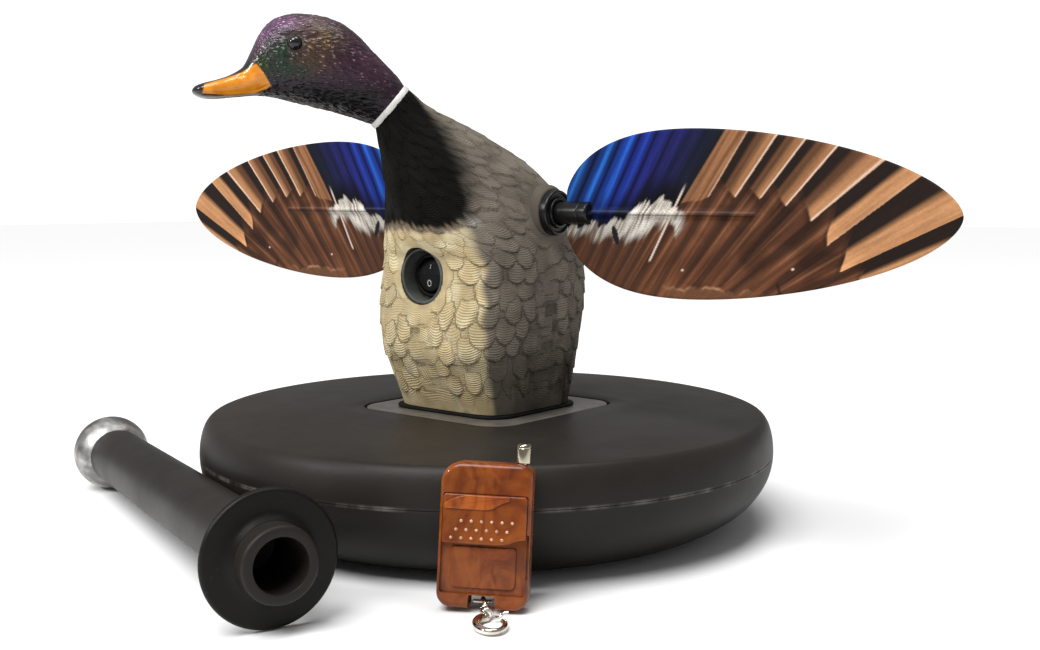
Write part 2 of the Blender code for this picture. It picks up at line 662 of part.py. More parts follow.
def make_keel():
    axis = (FLANGE_CENTRE - BALL_CENTRE).normalized()
    length = (FLANGE_CENTRE - BALL_CENTRE).length
    aim = Vector((0, 0, 1)).rotation_difference(axis)
    tube_start = math.sqrt(BALL_R ** 2 - KEEL_TUBE_R ** 2) + 0.8
    bore_depth = 40.0
    tube = [(0, length + 14.0 - bore_depth), (KEEL_BORE_R, length + 14.0 - bore_depth),
            (KEEL_BORE_R, length + 14.0), (KEEL_COLLAR_R - 0.6, length + 14.0),
            (KEEL_COLLAR_R, length + 13.4), (KEEL_COLLAR_R, length + 0.3 - 3.0),
            (KEEL_TUBE_R, length + 0.3 - 3.0), (KEEL_TUBE_R, tube_start), (0, tube_start)]
    pieces = [turned("keel_tube", tube, "float_plastic", BALL_CENTRE, steps=30)]
    flange_hole = KEEL_COLLAR_R + GAP
    flange = [(flange_hole, length + 2.0), (FLANGE_R - 1.0, length + 2.0), (FLANGE_R, length + 1.0),
              (FLANGE_R, length - 1.0), (FLANGE_R - 1.0, length - 2.0), (flange_hole, length - 2.0)]
    pieces.append(turned("keel_flange", flange, "float_plastic", BALL_CENTRE, steps=36))
    weight = ball("keel_weight", BALL_R, "zinc", BALL_CENTRE, sides=24)
    pieces.append(weight)
    for piece in pieces:
        piece.rotation_mode = "QUATERNION"
        piece.rotation_quaternion = aim
    flat = block("weight_flat_cutter", (60, 60, 30), None, BALL_CENTRE + axis * (tube_start - 0.5 + 15))
    flat.rotation_mode = "QUATERNION"
    flat.rotation_quaternion = aim
    cut(weight, flat)


# Remote -----------------------------------------------------------------------------------------

def remote_outline(inset=0.0, steps=5):
    """Front outline of the case; the corner above the cover's left end is the roundest one."""
    radii = [max(1.0, r - inset) for r in (5.0, 9.0, 6.0, 6.0)]
    half_x = REMOTE_W / 2 - inset
    half_z = REMOTE_H / 2 - inset
    return [(x, z + REMOTE_H / 2) for x, z in rounded_outline(half_x, half_z, 6, steps, radii=radii)]


def upright_slab(name, outline, front, back, finish, frame):
    """A slab whose outline lies in the remote's X-Z plane, from y=front to y=back."""
    return slab(name, outline, -back, -front, finish, turn=(90, 0, 0), parent=frame)


def make_remote():
    roll = Matrix.Rotation(math.radians(REMOTE_ROLL), 3, "Y")
    lean = Matrix.Rotation(math.radians(-REMOTE_LEAN), 3, "X")
    yaw = Matrix.Rotation(math.radians(REMOTE_YAW), 3, "Z")
    frame = add_empty("remote_frame", REMOTE_PLACE)
    frame.rotation_mode = "QUATERNION"
    frame.rotation_quaternion = (yaw @ lean @ roll).to_quaternion()

    back = upright_slab("remote_back_case", remote_outline(), REMOTE_SPLIT + GAP / 2, 0.0,
                        "wood_finish", frame)
    round_edges(back, 1.0, 1, 50)
    cut(back, upright_slab("back_case_cutter", remote_outline(1.5, 4), REMOTE_SPLIT - 4, -1.4, None,
                           frame))
    front = upright_slab("remote_front_case", remote_outline(), -REMOTE_T, REMOTE_SPLIT - GAP / 2,
                         "wood_finish", frame)
    round_edges(front, 1.0, 1, 50)
    cut(front, upright_slab("front_case_cutter", remote_outline(1.5, 4), -8.1, REMOTE_SPLIT + 4, None,
                            frame))
    track = rounded_outline(17.6, (COVER_HIGH - 6.0) / 2 + 0.15, 1.0, 2,
                            (0, (COVER_HIGH + 6.0) / 2 + 0.15))
    cut(front, upright_slab("cover_track_cutter", track, -REMOTE_T - 3, -9.4, None, frame))
    for index in range(4):
        x = -6.0 + 12.0 * (index % 2)
        z = 31.5 + 9.5 * (index // 2)
        cut(front, rod("button_hole_%d" % (index + 1), 2.8, 6, "Y", None, (x, -9, z), parent=frame))
        shape = [(0, -0.1), (1.9, -0.1), (2.5, -0.6), (2.5, -2.4), (3.3, -2.4), (3.3, -2.9), (0, -2.9)]
        turned("remote_button_%d" % (index + 1), shape, "red_rubber", (x, -10.3, z), (90, 0, 0), frame,
               steps=14)
    stem_hole = rod("antenna_hole_cutter", 1.8, 60, "Z", None, (14.2, -5.6, 50), parent=frame)
    cut(front, stem_hole)
    cut(back, stem_hole)
    notch = block("key_notch_cutter", (8.4, 20, 14.4), None, (0, -6, 0), parent=frame)
    cut(front, notch)
    cut(back, notch)

    cover = upright_slab("remote_slide_cover", rounded_outline(
        17.3, (COVER_HIGH - COVER_LOW) / 2, 1.6, 3, (0, (COVER_HIGH + COVER_LOW) / 2)),
        -12.6, -9.7, "wood_finish", frame)
    round_edges(cover, 0.5, 1, 60)
    cut(cover, block("cover_groove_cutter", (28.4, 4.0, 40), None, (0, -8.9, 36), parent=frame))

    block("remote_board", (26.0, 1.0, 42.0), "circuit", (-2.5, -6.0, 31.0), parent=frame)
    rod("remote_cell", 10.0, 3.0, "Y", "steel", (-3.0, -3.4, 24.0), parent=frame, sides=28)
    tip = [(0, 8.0), (1.6, 7.7), (2.6, 6.8), (3.0, 5.6), (3.0, 0.0), (1.3, 0.0), (1.3, -34.0),
           (0, -34.0)]
    turned("remote_antenna", tip, "chrome", (14.2, -5.6, REMOTE_H + GAP), parent=frame, steps=20)
    post = Vector((0, -6.0, 2.4))
    rod("key_post", 0.8, 7.8, "X", "chrome", post, parent=frame, sides=12)
    return REMOTE_PLACE + frame.rotation_quaternion @ post


# Clasp: a link round the key post, a swivel barrel, a claw and the claw's gate, lying on the ground
CLASP_AIM = -41.0
LINK_HALF = 4.7
LINK_RISE = 2.4
CLAW_MIDDLE = 22.6
CLAW_LONG = 8.4
CLAW_WIDE = 5.6
CLAW_WIRE = 1.2


def make_clasp(post):
    frame = add_empty("clasp_frame", (post.x, post.y, 0), (0, 0, CLASP_AIM))
    link = []
    for step in range(18):
        angle = 2 * math.pi * step / 18
        link.append((2.9 + LINK_HALF * math.cos(angle), 0.0, post.z + LINK_RISE * math.sin(angle)))
    wire("clasp_link", link, 0.6, "chrome", frame, cyclic=True)
    barrel = [(0, 2.3), (1.3, 2.2), (2.0, 1.4), (2.0, -1.0), (1.5, -1.4), (1.5, -2.0), (0, -2.0)]
    turned("clasp_barrel", barrel, "chrome", (10.8, 0, 2.8), (0, -90, 0), frame, steps=16)
    claw = [(13.9, 0.0, 2.6)]
    for step in range(13):
        angle = math.radians(190 + 285 * step / 12)
        claw.append((CLAW_MIDDLE + CLAW_LONG * math.cos(angle), CLAW_WIDE * math.sin(angle), 1.7))
    wire("clasp_claw", smooth_path(claw, 34), CLAW_WIRE, "chrome", frame)
    gate = [(15.0, 2.6, 1.8), (16.8, 4.4, 2.4), (17.0, 6.0, 3.9), (17.5, 8.0, 4.3)]
    wire("clasp_gate", smooth_path(gate, 8), 0.7, "chrome", frame)


make_float()
make_body()
make_head()
make_chassis()
make_motor()
make_drive()
make_switch()
make_keel()
make_clasp(make_remote())
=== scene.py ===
import json
import math

import bmesh
import bpy
import numpy as np
from mathutils import Matrix, Vector


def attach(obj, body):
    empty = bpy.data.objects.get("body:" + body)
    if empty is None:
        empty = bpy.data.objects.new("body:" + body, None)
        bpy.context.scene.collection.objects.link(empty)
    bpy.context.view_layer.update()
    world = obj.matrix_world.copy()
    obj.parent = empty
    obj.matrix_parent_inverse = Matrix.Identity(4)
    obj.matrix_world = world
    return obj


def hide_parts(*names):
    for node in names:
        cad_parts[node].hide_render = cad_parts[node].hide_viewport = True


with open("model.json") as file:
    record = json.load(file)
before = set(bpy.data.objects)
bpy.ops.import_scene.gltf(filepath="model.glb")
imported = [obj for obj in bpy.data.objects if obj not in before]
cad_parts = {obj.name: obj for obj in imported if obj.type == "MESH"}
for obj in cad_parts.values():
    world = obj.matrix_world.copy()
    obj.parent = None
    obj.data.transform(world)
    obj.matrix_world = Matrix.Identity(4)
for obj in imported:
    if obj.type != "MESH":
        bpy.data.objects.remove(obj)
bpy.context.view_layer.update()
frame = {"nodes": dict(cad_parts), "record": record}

# Looks of a spinning-wing duck decoy on its float. Lengths are in millimetres from the middle of the
# float's underside; MIDDLE moves them into the frame and MM turns them into metres.
MM = 0.001
MIDDLE = np.array([0.0, 35.6, 0.0])
FLOAT_R, SEAM_Z, RIM_R, RIM_Z, CROWN_Z, BASE_R = 150.0, 37.5, 143.0, 55.8, 58.2, 102.0
PLATE_HALF, PLATE_CORNER, PLATE_TOP, PLATE_THICK, POCKET_GAP = 49.5, 14.0, 57.9, 3.0, 1.3
PEG_R, SLEEVE_R, SOCKET_R = 10.7, 19.0, 16.2
FOOT_Z, FOOT_X, FOOT_Y, FOOT_MID_Y = 59.7, 36.3, 34.3, -1.5
NECK = np.array([-15.2, -55.9, 212.5])
NECK_YAW, NECK_TILT, NECK_R, RING_HALF, GAP = 38.0, 49.4, 12.4, 1.0, 0.3
SHAFT_Z, HUB_R, HUB_START, HUB_END, BEZEL_FACE, BEZEL_HOLE_R = 160.3, 5.6, 43.8, 67.8, 47.2, 9.9
WING_ROOT, WING_START, WING_WIDE, WING_TIP, WING_CHORD = 51.3, 53.0, 120.0, 251.8, 39.6
ROD_END = 158.0
SWITCH_Z, SWITCH_FRONT, SWITCH_R, PADDLE_FACE, PADDLE_RISE = 129.0, -50.0, 14.3, -3.2, 0.16
REMOTE_AT = np.array([102.1, -119.8, 0.3])
REMOTE_W, REMOTE_H, REMOTE_T, REMOTE_SPLIT = 38.0, 59.5, 11.6, -5.6
BALL_AT, BALL_R = np.array([-203.6, -98.4, 20.7]), 20.7
FLANGE_AT, FLANGE_R = np.array([55.8, -194.3, 28.3]), 28.3
SIDES = (("left", 1), ("right", -1))


# --- Small maths ---

def step(x, low, high):
    """Smooth rise from 0 at low to 1 at high."""
    t = np.clip((x - low) / (high - low), 0, 1)
    return t * t * (3 - 2 * t)


def blend(a, b, w):
    return np.asarray(a) * (1 - w[..., None]) + np.asarray(b) * w[..., None]


def layered(colour, *layers):
    """Tints laid over a colour, each with its weight; a plain number scales what lies below."""
    for tint, weight in layers:
        colour = blend(colour, colour * tint if isinstance(tint, float) else tint, weight)
    return colour


def bell(x, width):
    return np.exp(-(x / width) ** 2)


def lattice(i, j, seed):
    wave = np.sin(i * 127.1 + j * 311.7 + seed * 74.7) * 43758.5453
    return wave - np.floor(wave)


def value_noise(x, y, seed=0):
    """Smooth noise from 0 to 1 on a unit lattice."""
    i, j = np.floor(x), np.floor(y)
    u, v = x - i, y - j
    u, v = u * u * (3 - 2 * u), v * v * (3 - 2 * v)
    low = lattice(i, j, seed) * (1 - u) + lattice(i + 1, j, seed) * u
    high = lattice(i, j + 1, seed) * (1 - u) + lattice(i + 1, j + 1, seed) * u
    return low * (1 - v) + high * v


def rotation(axis, degrees):
    """Rotation about axis 0, 1 or 2."""
    c, s = math.cos(math.radians(degrees)), math.sin(math.radians(degrees))
    i, j = (axis + 1) % 3, (axis + 2) % 3
    matrix = np.eye(3)
    matrix[i, i] = matrix[j, j] = c
    matrix[i, j], matrix[j, i] = -s, s
    return matrix


def circle(count):
    """Angles of count even steps round a circle."""
    return np.arange(count) * 2 * math.pi / count


def catmull(values, per_gap):
    """Rows of numbers joined by a Catmull-Rom curve, per_gap steps between each two."""
    v = np.array(values, float)
    v = np.vstack([2 * v[0] - v[1], v, 2 * v[-1] - v[-2]])
    rows = []
    for k in range(len(values) - 1):
        p0, p1, p2, p3 = v[k:k + 4]
        for n in range(per_gap):
            t = n / per_gap
            rows.append(0.5 * (2 * p1 + (p2 - p0) * t + (2 * p0 - 5 * p1 + 4 * p2 - p3) * t * t
                               + (3 * p1 - p0 - 3 * p2 + p3) * t ** 3))
    rows.append(v[-2])
    return np.array(rows)


# --- Materials ---

class Graph:
    """A Principled material and short calls that add nodes to it."""

    def __init__(self, name, **constants):
        self.material = bpy.data.materials.new(name)
        self.material.use_nodes = True
        self.nodes, self.links = self.material.node_tree.nodes, self.material.node_tree.links
        self.shader = self.nodes["Principled BSDF"]
        self.place = self.add("ShaderNodeTexCoord").outputs["Object"]
        for key, value in constants.items():
            self.shader.inputs[key.replace("_", " ")].default_value = value

    def feed(self, socket, value):
        if isinstance(value, bpy.types.NodeSocket):
            self.links.new(value, socket)
        else:
            socket.default_value = value

    def add(self, kind, inputs=None, **settings):
        node = self.nodes.new(kind)
        for key, value in settings.items():
            setattr(node, key, value)
        for key, value in (inputs or {}).items():
            self.feed(node.inputs[key], value)
        return node

    def noise(self, scale, detail=3.0, where=None, distortion=0.0):
        return self.add("ShaderNodeTexNoise", {"Vector": where or self.place, "Scale": scale,
                                               "Detail": detail, "Distortion": distortion}).outputs["Fac"]

    def cells(self, scale, where=None, feature="F1"):
        return self.add("ShaderNodeTexVoronoi", {"Vector": where or self.place, "Scale": scale},
                        feature=feature).outputs["Distance"]

    def stretch(self, scale, where=None, turn=(0, 0, 0)):
        return self.add("ShaderNodeMapping", {"Vector": where or self.place, "Scale": scale,
                                              "Rotation": turn}).outputs["Vector"]

    def span(self, value, low, high, to_low, to_high):
        return self.add("ShaderNodeMapRange", {"Value": value, "From Min": low, "From Max": high,
                                               "To Min": to_low, "To Max": to_high}).outputs["Result"]

    def sum(self, operation, a, b=0.0):
        node = self.add("ShaderNodeMath", operation=operation)
        self.feed(node.inputs[0], a)
        self.feed(node.inputs[1], b)
        return node.outputs[0]

    def vary(self, scale, low, high, detail=3.0):
        """A value drifting between two limits."""
        return self.span(self.noise(scale, detail), 0.3, 0.7, low, high)

    def times(self, a, b):
        return self.sum("MULTIPLY", a, b)

    def mix(self, factor, a, b, kind="MIX"):
        node = self.add("ShaderNodeMix", data_type="RGBA", blend_type=kind)
        for index, value in ((0, factor), (6, a), (7, b)):
            self.feed(node.inputs[index], (*value, 1.0) if isinstance(value, tuple) else value)
        return node.outputs[2]

    def dim(self, colour, factor):
        """A colour times a plain number."""
        grey = self.add("ShaderNodeCombineXYZ", dict.fromkeys("XYZ", factor)).outputs[0]
        return self.mix(1.0, colour, grey, "MULTIPLY")

    def parts(self, vector):
        return self.add("ShaderNodeSeparateXYZ", {0: vector}).outputs

    def painted(self, name, output="Color"):
        return self.add("ShaderNodeAttribute", attribute_name=name).outputs[output]

    def bump(self, height, strength, depth_mm, under=None):
        node = self.add("ShaderNodeBump", {"Height": height, "Strength": strength,
                                           "Distance": depth_mm * MM})
        if under is not None:
            self.links.new(under, node.inputs["Normal"])
        return node.outputs["Normal"]

    def finish(self, colour=None, rough=None, normal=None):
        for key, value in (("Base Color", colour), ("Roughness", rough), ("Normal", normal)):
            if value is not None:
                self.feed(self.shader.inputs[key], value)
        return self.material


def moulded(name, low, high, rough, scale=60.0, grain=900.0, depth=0.04, coat=0.0, shine=0.5):
    """Colour drifting between two tones, roughness between two values, and a fine grain."""
    g = Graph(name, Coat_Weight=coat, Coat_Roughness=0.08, Specular_IOR_Level=shine)
    drift = g.noise(scale, 4.0)
    colour = g.mix(g.span(drift, 0.35, 0.65, 0.0, 1.0), low, high)
    gloss = g.vary(scale * 2.7, rough[0], rough[1])
    return g.finish(colour, gloss, g.bump(g.noise(grain, 2.0), 0.5, depth))


def float_finish(name, seam_and_low_shade, tone=1.0):
    """Charcoal moulding with a leathery grain; for the float itself also pale scuffed flash along the
    seam and painted shade darkening it towards the underside.
    """
    g = Graph(name, Specular_IOR_Level=0.16)
    drift = g.span(g.noise(24.0, 5.0), 0.35, 0.68, 0.0, 1.0)
    colour = g.mix(drift, (0.0165 * tone, 0.0140 * tone, 0.0117 * tone),
                   (0.0225 * tone, 0.0192 * tone, 0.0162 * tone))
    specks = g.span(g.noise(520.0, 2.0), 0.68, 0.76, 0.0, 0.25)
    colour = g.mix(specks, colour, (0.045, 0.041, 0.036))
    if seam_and_low_shade:
        height = g.parts(g.place)["Z"]
        # Painted shade: the colour darkens towards the float's underside, to 0.3 of itself at 12 mm up.
        colour = g.dim(colour, g.span(height, 0.012, 0.052, 0.30, 1.0))
        off = g.sum("ABSOLUTE", g.sum("SUBTRACT", height, SEAM_Z * MM))
        line = g.span(off, 0.0004, 0.0013, 1.0, 0.0)
        along = g.stretch((1.0, 1.0, 0.15))
        patchy = g.span(g.noise(85.0, 5.0, along), 0.44, 0.64, 0.04, 0.8)
        colour = g.mix(g.times(line, patchy), colour, (0.15, 0.14, 0.125))
    leather = g.cells(620.0, feature="SMOOTH_F1")
    normal = g.bump(leather, 0.35, 0.10, g.bump(g.noise(210.0, 4.0), 0.5, 0.12))
    return g.finish(colour, g.vary(26.0, 0.40, 0.50), normal)


def body_finish():
    g = Graph("decoy_body_paint", Specular_IOR_Level=0.07)
    relief = g.parts(g.painted("relief", "Vector"))
    wobble = g.span(g.noise(260.0, 2.0), 0.0, 1.0, -1.1, 1.1)
    wave = g.sum("SINE", g.sum("ADD", relief["X"], wobble))
    ridges = g.times(g.span(wave, -1.0, 1.0, 0.0, 1.0), relief["Y"])
    shade = g.vary(130.0, 0.80, 1.12, 5.0)
    # Lighter on the ridge tops, as dry-brushed paint, and darker in the grooves between ridges, as
    # painted shade.
    wear_and_groove_shade = g.times(g.span(ridges, 0.0, 1.0, 0.80, 1.14), shade)
    normal = g.bump(ridges, 0.9, 0.38, g.bump(g.noise(1500.0, 3.0), 0.4, 0.07))
    return g.finish(g.dim(g.painted("paint"), wear_and_groove_shade), g.vary(90.0, 0.62, 0.82), normal)


def head_finish():
    g = Graph("decoy_head_paint", Coat_Roughness=0.10, Specular_IOR_Level=0.32)
    split = g.parts(g.painted("relief", "Vector"))
    along, across, feathered = split["X"], split["Y"], split["Z"]
    spot = g.add("ShaderNodeCombineXYZ", {"X": g.times(along, 0.45), "Y": across,
                                          "Z": 0.0}).outputs[0]
    bent = g.add("ShaderNodeVectorMath", {0: spot, 1: g.add(
        "ShaderNodeTexNoise", {"Vector": g.place, "Scale": 140.0}).outputs["Color"]},
        operation="ADD").outputs[0]
    dashes = g.span(g.cells(1.05, bent), 0.05, 0.62, 1.0, 0.0)
    strands = g.noise(3.2, 3.0, bent)
    height = g.times(g.sum("ADD", dashes, g.times(strands, 0.15)), feathered)
    glint = g.times(g.span(dashes, 0.66, 0.94, 0.0, 0.9), feathered)
    base = g.painted("paint")
    colour = g.mix(glint, base, g.mix(1.0, base, (7.5, 7.2, 7.0), "MULTIPLY"))
    g.feed(g.shader.inputs["Metallic"], g.times(feathered, 0.35))
    g.feed(g.shader.inputs["Coat Weight"], g.span(feathered, 0.0, 1.0, 0.42, 0.10))
    normal = g.bump(height, 0.85, 0.42, g.bump(g.noise(420.0, 3.0), 0.25, 0.10))
    return g.finish(colour, g.vary(160.0, 0.22, 0.42), normal)


def wing_finish():
    g = Graph("decoy_wing_print", Specular_IOR_Level=0.10)
    fine = g.span(g.noise(900.0, 3.0), 0.25, 0.75, 0.90, 1.10)
    return g.finish(g.dim(g.painted("paint"), fine), g.vary(60.0, 0.46, 0.62, 4.0),
                    g.bump(g.noise(2200.0, 2.0), 0.2, 0.02))


def burl_finish(name, lift=1.0):
    """Glossy lacquered burl wood: warped rings, dark streaks and a deep clear coat."""
    g = Graph(name, Coat_Weight=0.36, Coat_Roughness=0.03, Specular_IOR_Level=0.10)
    warp = g.add("ShaderNodeTexNoise", {"Vector": g.stretch((42.0, 42.0, 20.0)), "Scale": 1.0,
                                        "Detail": 4.0, "Distortion": 1.4})
    rings = g.span(g.sum("SINE", g.times(warp.outputs["Fac"], 34.0)), -1.0, 1.0, 0.0, 1.0)
    clouds = g.span(g.noise(75.0, 5.0, distortion=0.8), 0.34, 0.68, 0.0, 1.0)
    colour = g.mix(clouds, (0.095 * lift, 0.018 * lift, 0.0035 * lift),
                   (0.225 * lift, 0.050 * lift, 0.0075 * lift))
    colour = g.mix(g.times(rings, 0.28), colour, (0.36 * lift, 0.105 * lift, 0.016 * lift))
    streaks = g.span(g.noise(2.0, 5.0, g.stretch((40.0, 40.0, 26.0), turn=(0.3, 0.6, 0.2)), 1.2),
                     0.55, 0.72, 0.0, 0.6)
    colour = g.mix(streaks, colour, (0.085, 0.020, 0.004))
    return g.finish(colour, g.span(clouds, 0.0, 1.0, 0.34, 0.24), g.bump(g.noise(55.0), 0.25, 0.10))


def metal_finish(name, low, high, rough, scale, depth, grain=300.0):
    g = Graph(name, Metallic=1.0)
    mottle = g.span(g.noise(scale, 5.0, distortion=0.4), 0.36, 0.66, 0.0, 1.0)
    return g.finish(g.mix(mottle, low, high), g.span(g.noise(scale * 1.7, 4.0), 0.3, 0.7, *rough),
                    g.bump(g.noise(grain, 4.0), 0.6, depth))


def cell_finish():
    g = Graph("cell_sleeve", Coat_Weight=0.4)
    band = g.span(g.sum("ABSOLUTE", g.parts(g.place)["X"]), 0.0125, 0.0128, 0.0, 1.0)
    colour = g.mix(band, (0.50, 0.30, 0.06), (0.02, 0.02, 0.022))
    return g.finish(colour, g.vary(90.0, 0.25, 0.4), g.bump(g.noise(700.0), 0.3, 0.03))


FINISH = {
    "float": float_finish("float_moulding", True),
    "keel": float_finish("keel_moulding", False, 0.85),
    # The keel plate is the float's moulding darkened to 0.28 of its tone, as painted shade.
    "flange": float_finish("keel_plate_moulding_painted_shade", False, 0.28),
    "deck": moulded("deck_plate_plastic", (0.075, 0.067, 0.057), (0.110, 0.099, 0.085), (0.30, 0.40),
                    90.0),
    "body": body_finish(),
    "head": head_finish(),
    "white": moulded("white_band_paint", (0.60, 0.59, 0.55), (0.78, 0.77, 0.73), (0.45, 0.6), 220.0,
                     1200.0, 0.08),
    "eye": moulded("eye_gloss", (0.004, 0.004, 0.004), (0.010, 0.008, 0.007), (0.03, 0.06), 200.0,
                   500.0, 0.002, coat=0.5, shine=0.3),
    "black": moulded("black_plastic", (0.0040, 0.0039, 0.0037), (0.0070, 0.0067, 0.0064), (0.26, 0.36),
                     130.0, 1100.0, 0.012, shine=0.30),
    "rubber": moulded("black_rubber", (0.004, 0.004, 0.004), (0.008, 0.0078, 0.0075), (0.60, 0.80), 130.0,
                      1300.0, 0.06, shine=0.12),
    "paddle": moulded("switch_black", (0.0035, 0.0035, 0.0035), (0.006, 0.006, 0.006), (0.45, 0.55),
                      160.0, 1200.0, 0.02, shine=0.10),
    "wing": wing_finish(),
    "steel": metal_finish("bright_steel", (0.42, 0.42, 0.43), (0.60, 0.60, 0.61), (0.24, 0.38), 160.0,
                          0.02, 1400.0),
    "brass": metal_finish("turned_brass", (0.50, 0.35, 0.14), (0.70, 0.52, 0.25), (0.26, 0.4), 160.0,
                          0.02, 1400.0),
    "zinc": metal_finish("cast_ball", (0.20, 0.195, 0.19), (0.62, 0.61, 0.59), (0.30, 0.52), 95.0, 0.30,
                         260.0),
    "chrome": metal_finish("plated_clasp", (0.50, 0.45, 0.37), (0.80, 0.76, 0.69), (0.07, 0.14), 120.0,
                           0.012, 500.0),
    "burl": burl_finish("remote_burl"),
    # A lighter copy of the wood for the raised swoosh, as a painted highlight.
    "burl_light": burl_finish("remote_burl_light", 1.55),
    # The dots are a paler copy of the wood, as painted highlights on their tips.
    "dot": moulded("cover_dot_painted_highlights", (0.34, 0.16, 0.075), (0.60, 0.38, 0.24), (0.15, 0.25), 700.0,
                   coat=0.6),
    "circuit": moulded("circuit_green", (0.008, 0.075, 0.030), (0.018, 0.14, 0.055), (0.35, 0.5), 300.0,
                       800.0, 0.05),
    "grey": moulded("dark_grey_plastic", (0.050, 0.055, 0.048), (0.085, 0.092, 0.080), (0.50, 0.62),
                    120.0, 1000.0, 0.05, shine=0.2),
    "cell": cell_finish(),
    "red": moulded("soft_red", (0.30, 0.015, 0.010), (0.45, 0.035, 0.022), (0.4, 0.55), 200.0),
    "mark": moulded("switch_mark_white", (0.42, 0.42, 0.40), (0.55, 0.55, 0.52), (0.5, 0.6), 300.0),
    "dark_metal": metal_finish("antenna_metal", (0.40, 0.36, 0.27), (0.66, 0.60, 0.48), (0.10, 0.16),
                               60.0, 0.006, 500.0),
}


# The finish of each material slot, and the slot of each finish
SLOT_FINISH = {
    "float_plastic": "float", "deck_plastic": "deck", "body_paint": "rubber", "head_paint": "head",
    "white_paint": "white", "eye_glass": "eye", "black_plastic": "black", "black_rubber": "rubber",
    "wing_print": "wing", "steel": "steel", "brass": "brass", "zinc": "zinc", "chrome": "chrome",
    "wood_finish": "burl", "circuit": "circuit", "grey_plastic": "grey", "cell_wrap": "cell",
    "red_rubber": "red",
}
FINISH_SLOT = {finish: slot for slot, finish in SLOT_FINISH.items()}
FINISH_SLOT.update(body="body_paint", keel="float_plastic", flange="float_plastic",
                   paddle="black_plastic", burl_light="wood_finish", dot="wood_finish",
                   mark="white_paint", dark_metal="chrome")


def dress_nodes():
    """Materials of the nodes that are shown as they are."""
    for row in frame["record"]["subparts"]:
        for place in frame["nodes"][row["node"]].material_slots:
            place.material = FINISH[SLOT_FINISH[row["material_slot"]]]


# --- Building pieces ---

def put(name, data):
    made = bpy.data.objects.new(name, data)
    bpy.context.scene.collection.objects.link(made)
    return made


def grid_faces(rows, cols, wrap_rows=False, wrap_cols=True):
    i = np.arange(rows if wrap_rows else rows - 1)
    j = np.arange(cols if wrap_cols else cols - 1)
    a = (i[:, None] * cols + j[None, :]).ravel()
    b = (i[:, None] * cols + ((j + 1) % cols)[None, :]).ravel()
    c = (((i + 1) % rows)[:, None] * cols + ((j + 1) % cols)[None, :]).ravel()
    d = (((i + 1) % rows)[:, None] * cols + j[None, :]).ravel()
    return np.stack([a, b, c, d], 1)


def capped(rows, cols, rising=True):
    """Faces of stacked rings with both ends closed; rising when the rings wind outward."""
    first, last = list(range(cols)), list(range((rows - 1) * cols, rows * cols))
    ends = [first[::-1], last] if rising else [first, last[::-1]]
    return grid_faces(rows, cols).tolist() + ends


def make_mesh(name, points, faces, attributes=None, sharp=35.0, weld=True):
    """A mesh object from millimetre points, welded, facing outward and smooth up to an angle."""
    mesh = bpy.data.meshes.new(name)
    mesh.from_pydata(((np.asarray(points) + MIDDLE) * MM).tolist(), [], [list(f) for f in faces])
    for key, (kind, values) in (attributes or {}).items():
        made = mesh.attributes.new(key, kind, "POINT")
        field = "color" if kind == "FLOAT_COLOR" else "vector"
        values = np.asarray(values, np.float32)
        if kind == "FLOAT_COLOR":
            values = np.hstack([values, np.ones((len(values), 1), np.float32)])
        made.data.foreach_set(field, values.ravel())
    work = bmesh.new()
    work.from_mesh(mesh)
    if weld:
        bmesh.ops.remove_doubles(work, verts=work.verts, dist=0.000002)
        bmesh.ops.dissolve_degenerate(work, edges=work.edges, dist=0.000001)
    bmesh.ops.recalc_face_normals(work, faces=work.faces)
    work.to_mesh(mesh)
    work.free()
    mesh.shade_smooth()
    mesh.set_sharp_from_angle(angle=math.radians(sharp))
    return put(name, mesh)


def carve(target, *cutters):
    """Cuts the cutters out of a piece for good."""
    for cutter in cutters:
        change = target.modifiers.new("carve", "BOOLEAN")
        change.operation, change.solver, change.object = "DIFFERENCE", "EXACT", cutter
    bpy.context.view_layer.update()
    ready = target.evaluated_get(bpy.context.evaluated_depsgraph_get())
    mesh = bpy.data.meshes.new_from_object(ready, preserve_all_data_layers=True,
                                           depsgraph=bpy.context.evaluated_depsgraph_get())
    target.modifiers.clear()
    target.data = mesh
    for cutter in cutters:
        bpy.data.objects.remove(cutter, do_unlink=True)
    paint = mesh.attributes.get("paint")
    if paint:
        colours = np.empty(len(mesh.vertices) * 4, np.float32)
        paint.data.foreach_get("color", colours)
        colours = colours.reshape(-1, 4)
        # Points the cut leaves unpainted are painted dark, as painted shade at the cut edges.
        unset = colours[:, :3].min(1) > 0.95
        colours[unset] = (0.10, 0.085, 0.06, 1.0)
        paint.data.foreach_set("color", colours.ravel())
    mesh.set_sharp_from_angle(angle=math.radians(35.0))


def coat(piece, colour):
    """One flat paint colour over a piece."""
    size = len(piece.data.vertices)
    paint = piece.data.attributes.new("paint", "FLOAT_COLOR", "POINT")
    paint.data.foreach_set("color", np.tile([*colour, 1.0], size).astype(np.float32))
    return piece


def settle(piece, finish, body, *stands_for):
    """Gives a piece its material and the body it rides on, and hides the nodes it stands for."""
    piece.data.materials.clear()
    piece.data.materials.append(FINISH[finish])
    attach(piece, body)
    if stands_for:
        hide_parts(*stands_for)


